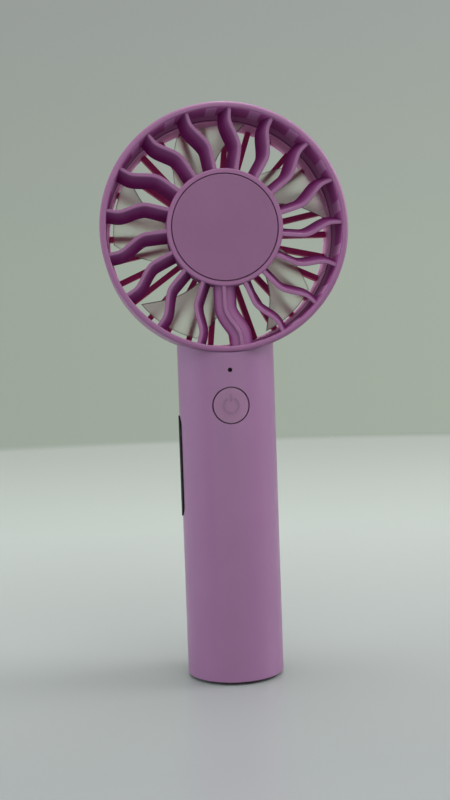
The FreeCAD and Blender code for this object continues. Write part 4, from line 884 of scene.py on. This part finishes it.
def set_world(colours, stage):
    """Even light from all around, and the backdrop's colour where it is seen."""
    world = bpy.data.worlds.new("studio")
    bpy.context.scene.world = world
    world.use_nodes = True
    tree = world.node_tree
    tree.nodes.clear()
    output = tree.nodes.new("ShaderNodeOutputWorld")
    light = node(tree, "ShaderNodeBackground", None, Color=(1.0, 1.0, 1.0, 1.0), Strength=stage.dome)
    outward = tree.nodes.new("ShaderNodeTexCoord").outputs["Generated"]
    way = node(tree, "ShaderNodeSeparateXYZ", None, Vector=outward)
    high = spread(tree, way.outputs["Z"], 0.0, 1.0, *BACKDROP_RISE)
    wall = blend(tree, high, rgba(colours.backdrop), rgba(colours.backdrop_top))
    # painted light: the backdrop brightens to the right
    level = spread(tree, way.outputs["X"], *BACKDROP_LEVEL, *BACKDROP_SIDES)
    shown = node(tree, "ShaderNodeBackground", None, Color=wall, Strength=level)
    show_mix(tree, output, seen_directly(tree), light, shown)


class FAN_OT_stage(bpy.types.Operator):
    """Set the floor, the lamps, the backdrop and the camera."""

    bl_idname = "fan.stage"
    bl_label = "Stage"

    def execute(self, context):
        scene = context.scene
        colours = scene.fan_colours
        stage = scene.fan_stage
        bm = bmesh.new()
        bmesh.ops.create_circle(bm, cap_ends=True, segments=96, radius=stage.floor_radius)
        mesh = bpy.data.meshes.new("floor")
        bm.to_mesh(mesh)
        bm.free()
        floor = bpy.data.objects.new("floor", mesh)
        scene.collection.objects.link(floor)
        mesh.materials.append(floor_material(colours, stage))
        set_world(colours, stage)
        for name, setting, place, size, part, tone, mirrored in LAMPS:
            area_lamp(name, place, size, getattr(stage, setting) * part, tone, mirrored)
        data = bpy.data.cameras.new("camera")
        data.sensor_fit = "VERTICAL"
        data.sensor_height = stage.sensor
        data.lens = stage.focal
        data.clip_start = 0.01
        camera = bpy.data.objects.new("camera", data)
        stand = Matrix.Translation((stage.camera_x, stage.camera_y, stage.camera_z))
        camera.matrix_world = stand @ look_rotation(stage.yaw, stage.pitch, stage.roll).to_4x4()
        scene.collection.objects.link(camera)
        scene.camera = camera
        scene.view_settings.view_transform = "Standard"
        return {"FINISHED"}


class FAN_PT_panel(bpy.types.Panel):
    """Lists the fan's settings and steps."""

    bl_label = "Handheld fan"
    bl_idname = "FAN_PT_panel"
    bl_space_type = "VIEW_3D"
    bl_region_type = "UI"
    bl_category = "Fan"

    def draw(self, context):
        for group in (context.scene.fan_colours, context.scene.fan_finish, context.scene.fan_stage):
            box = self.layout.box()
            for name in group.__annotations__:
                box.prop(group, name)
        for step in STEPS:
            self.layout.operator(step.bl_idname)


STEPS = (
    FAN_OT_shell,
    FAN_OT_cap,
    FAN_OT_impeller,
    FAN_OT_windows,
    FAN_OT_foot,
    FAN_OT_motor,
    FAN_OT_screws,
    FAN_OT_frame,
    FAN_OT_battery,
    FAN_OT_boards,
    FAN_OT_socket,
    FAN_OT_wires,
    FAN_OT_stage,
)
GROUPS = (FanColours, FanFinish, FanStage)


def register():
    for made in GROUPS + STEPS + (FAN_PT_panel,):
        bpy.utils.register_class(made)
    bpy.types.Scene.fan_colours = PointerProperty(type=FanColours)
    bpy.types.Scene.fan_finish = PointerProperty(type=FanFinish)
    bpy.types.Scene.fan_stage = PointerProperty(type=FanStage)


def unregister():
    del bpy.types.Scene.fan_stage
    del bpy.types.Scene.fan_finish
    del bpy.types.Scene.fan_colours
    for made in reversed(GROUPS + STEPS + (FAN_PT_panel,)):
        bpy.utils.unregister_class(made)


def main():
    register()
    for step in STEPS:
        group, name = step.bl_idname.split(".")
        getattr(getattr(bpy.ops, group), name)()


if __name__ == "__main__":
    main()
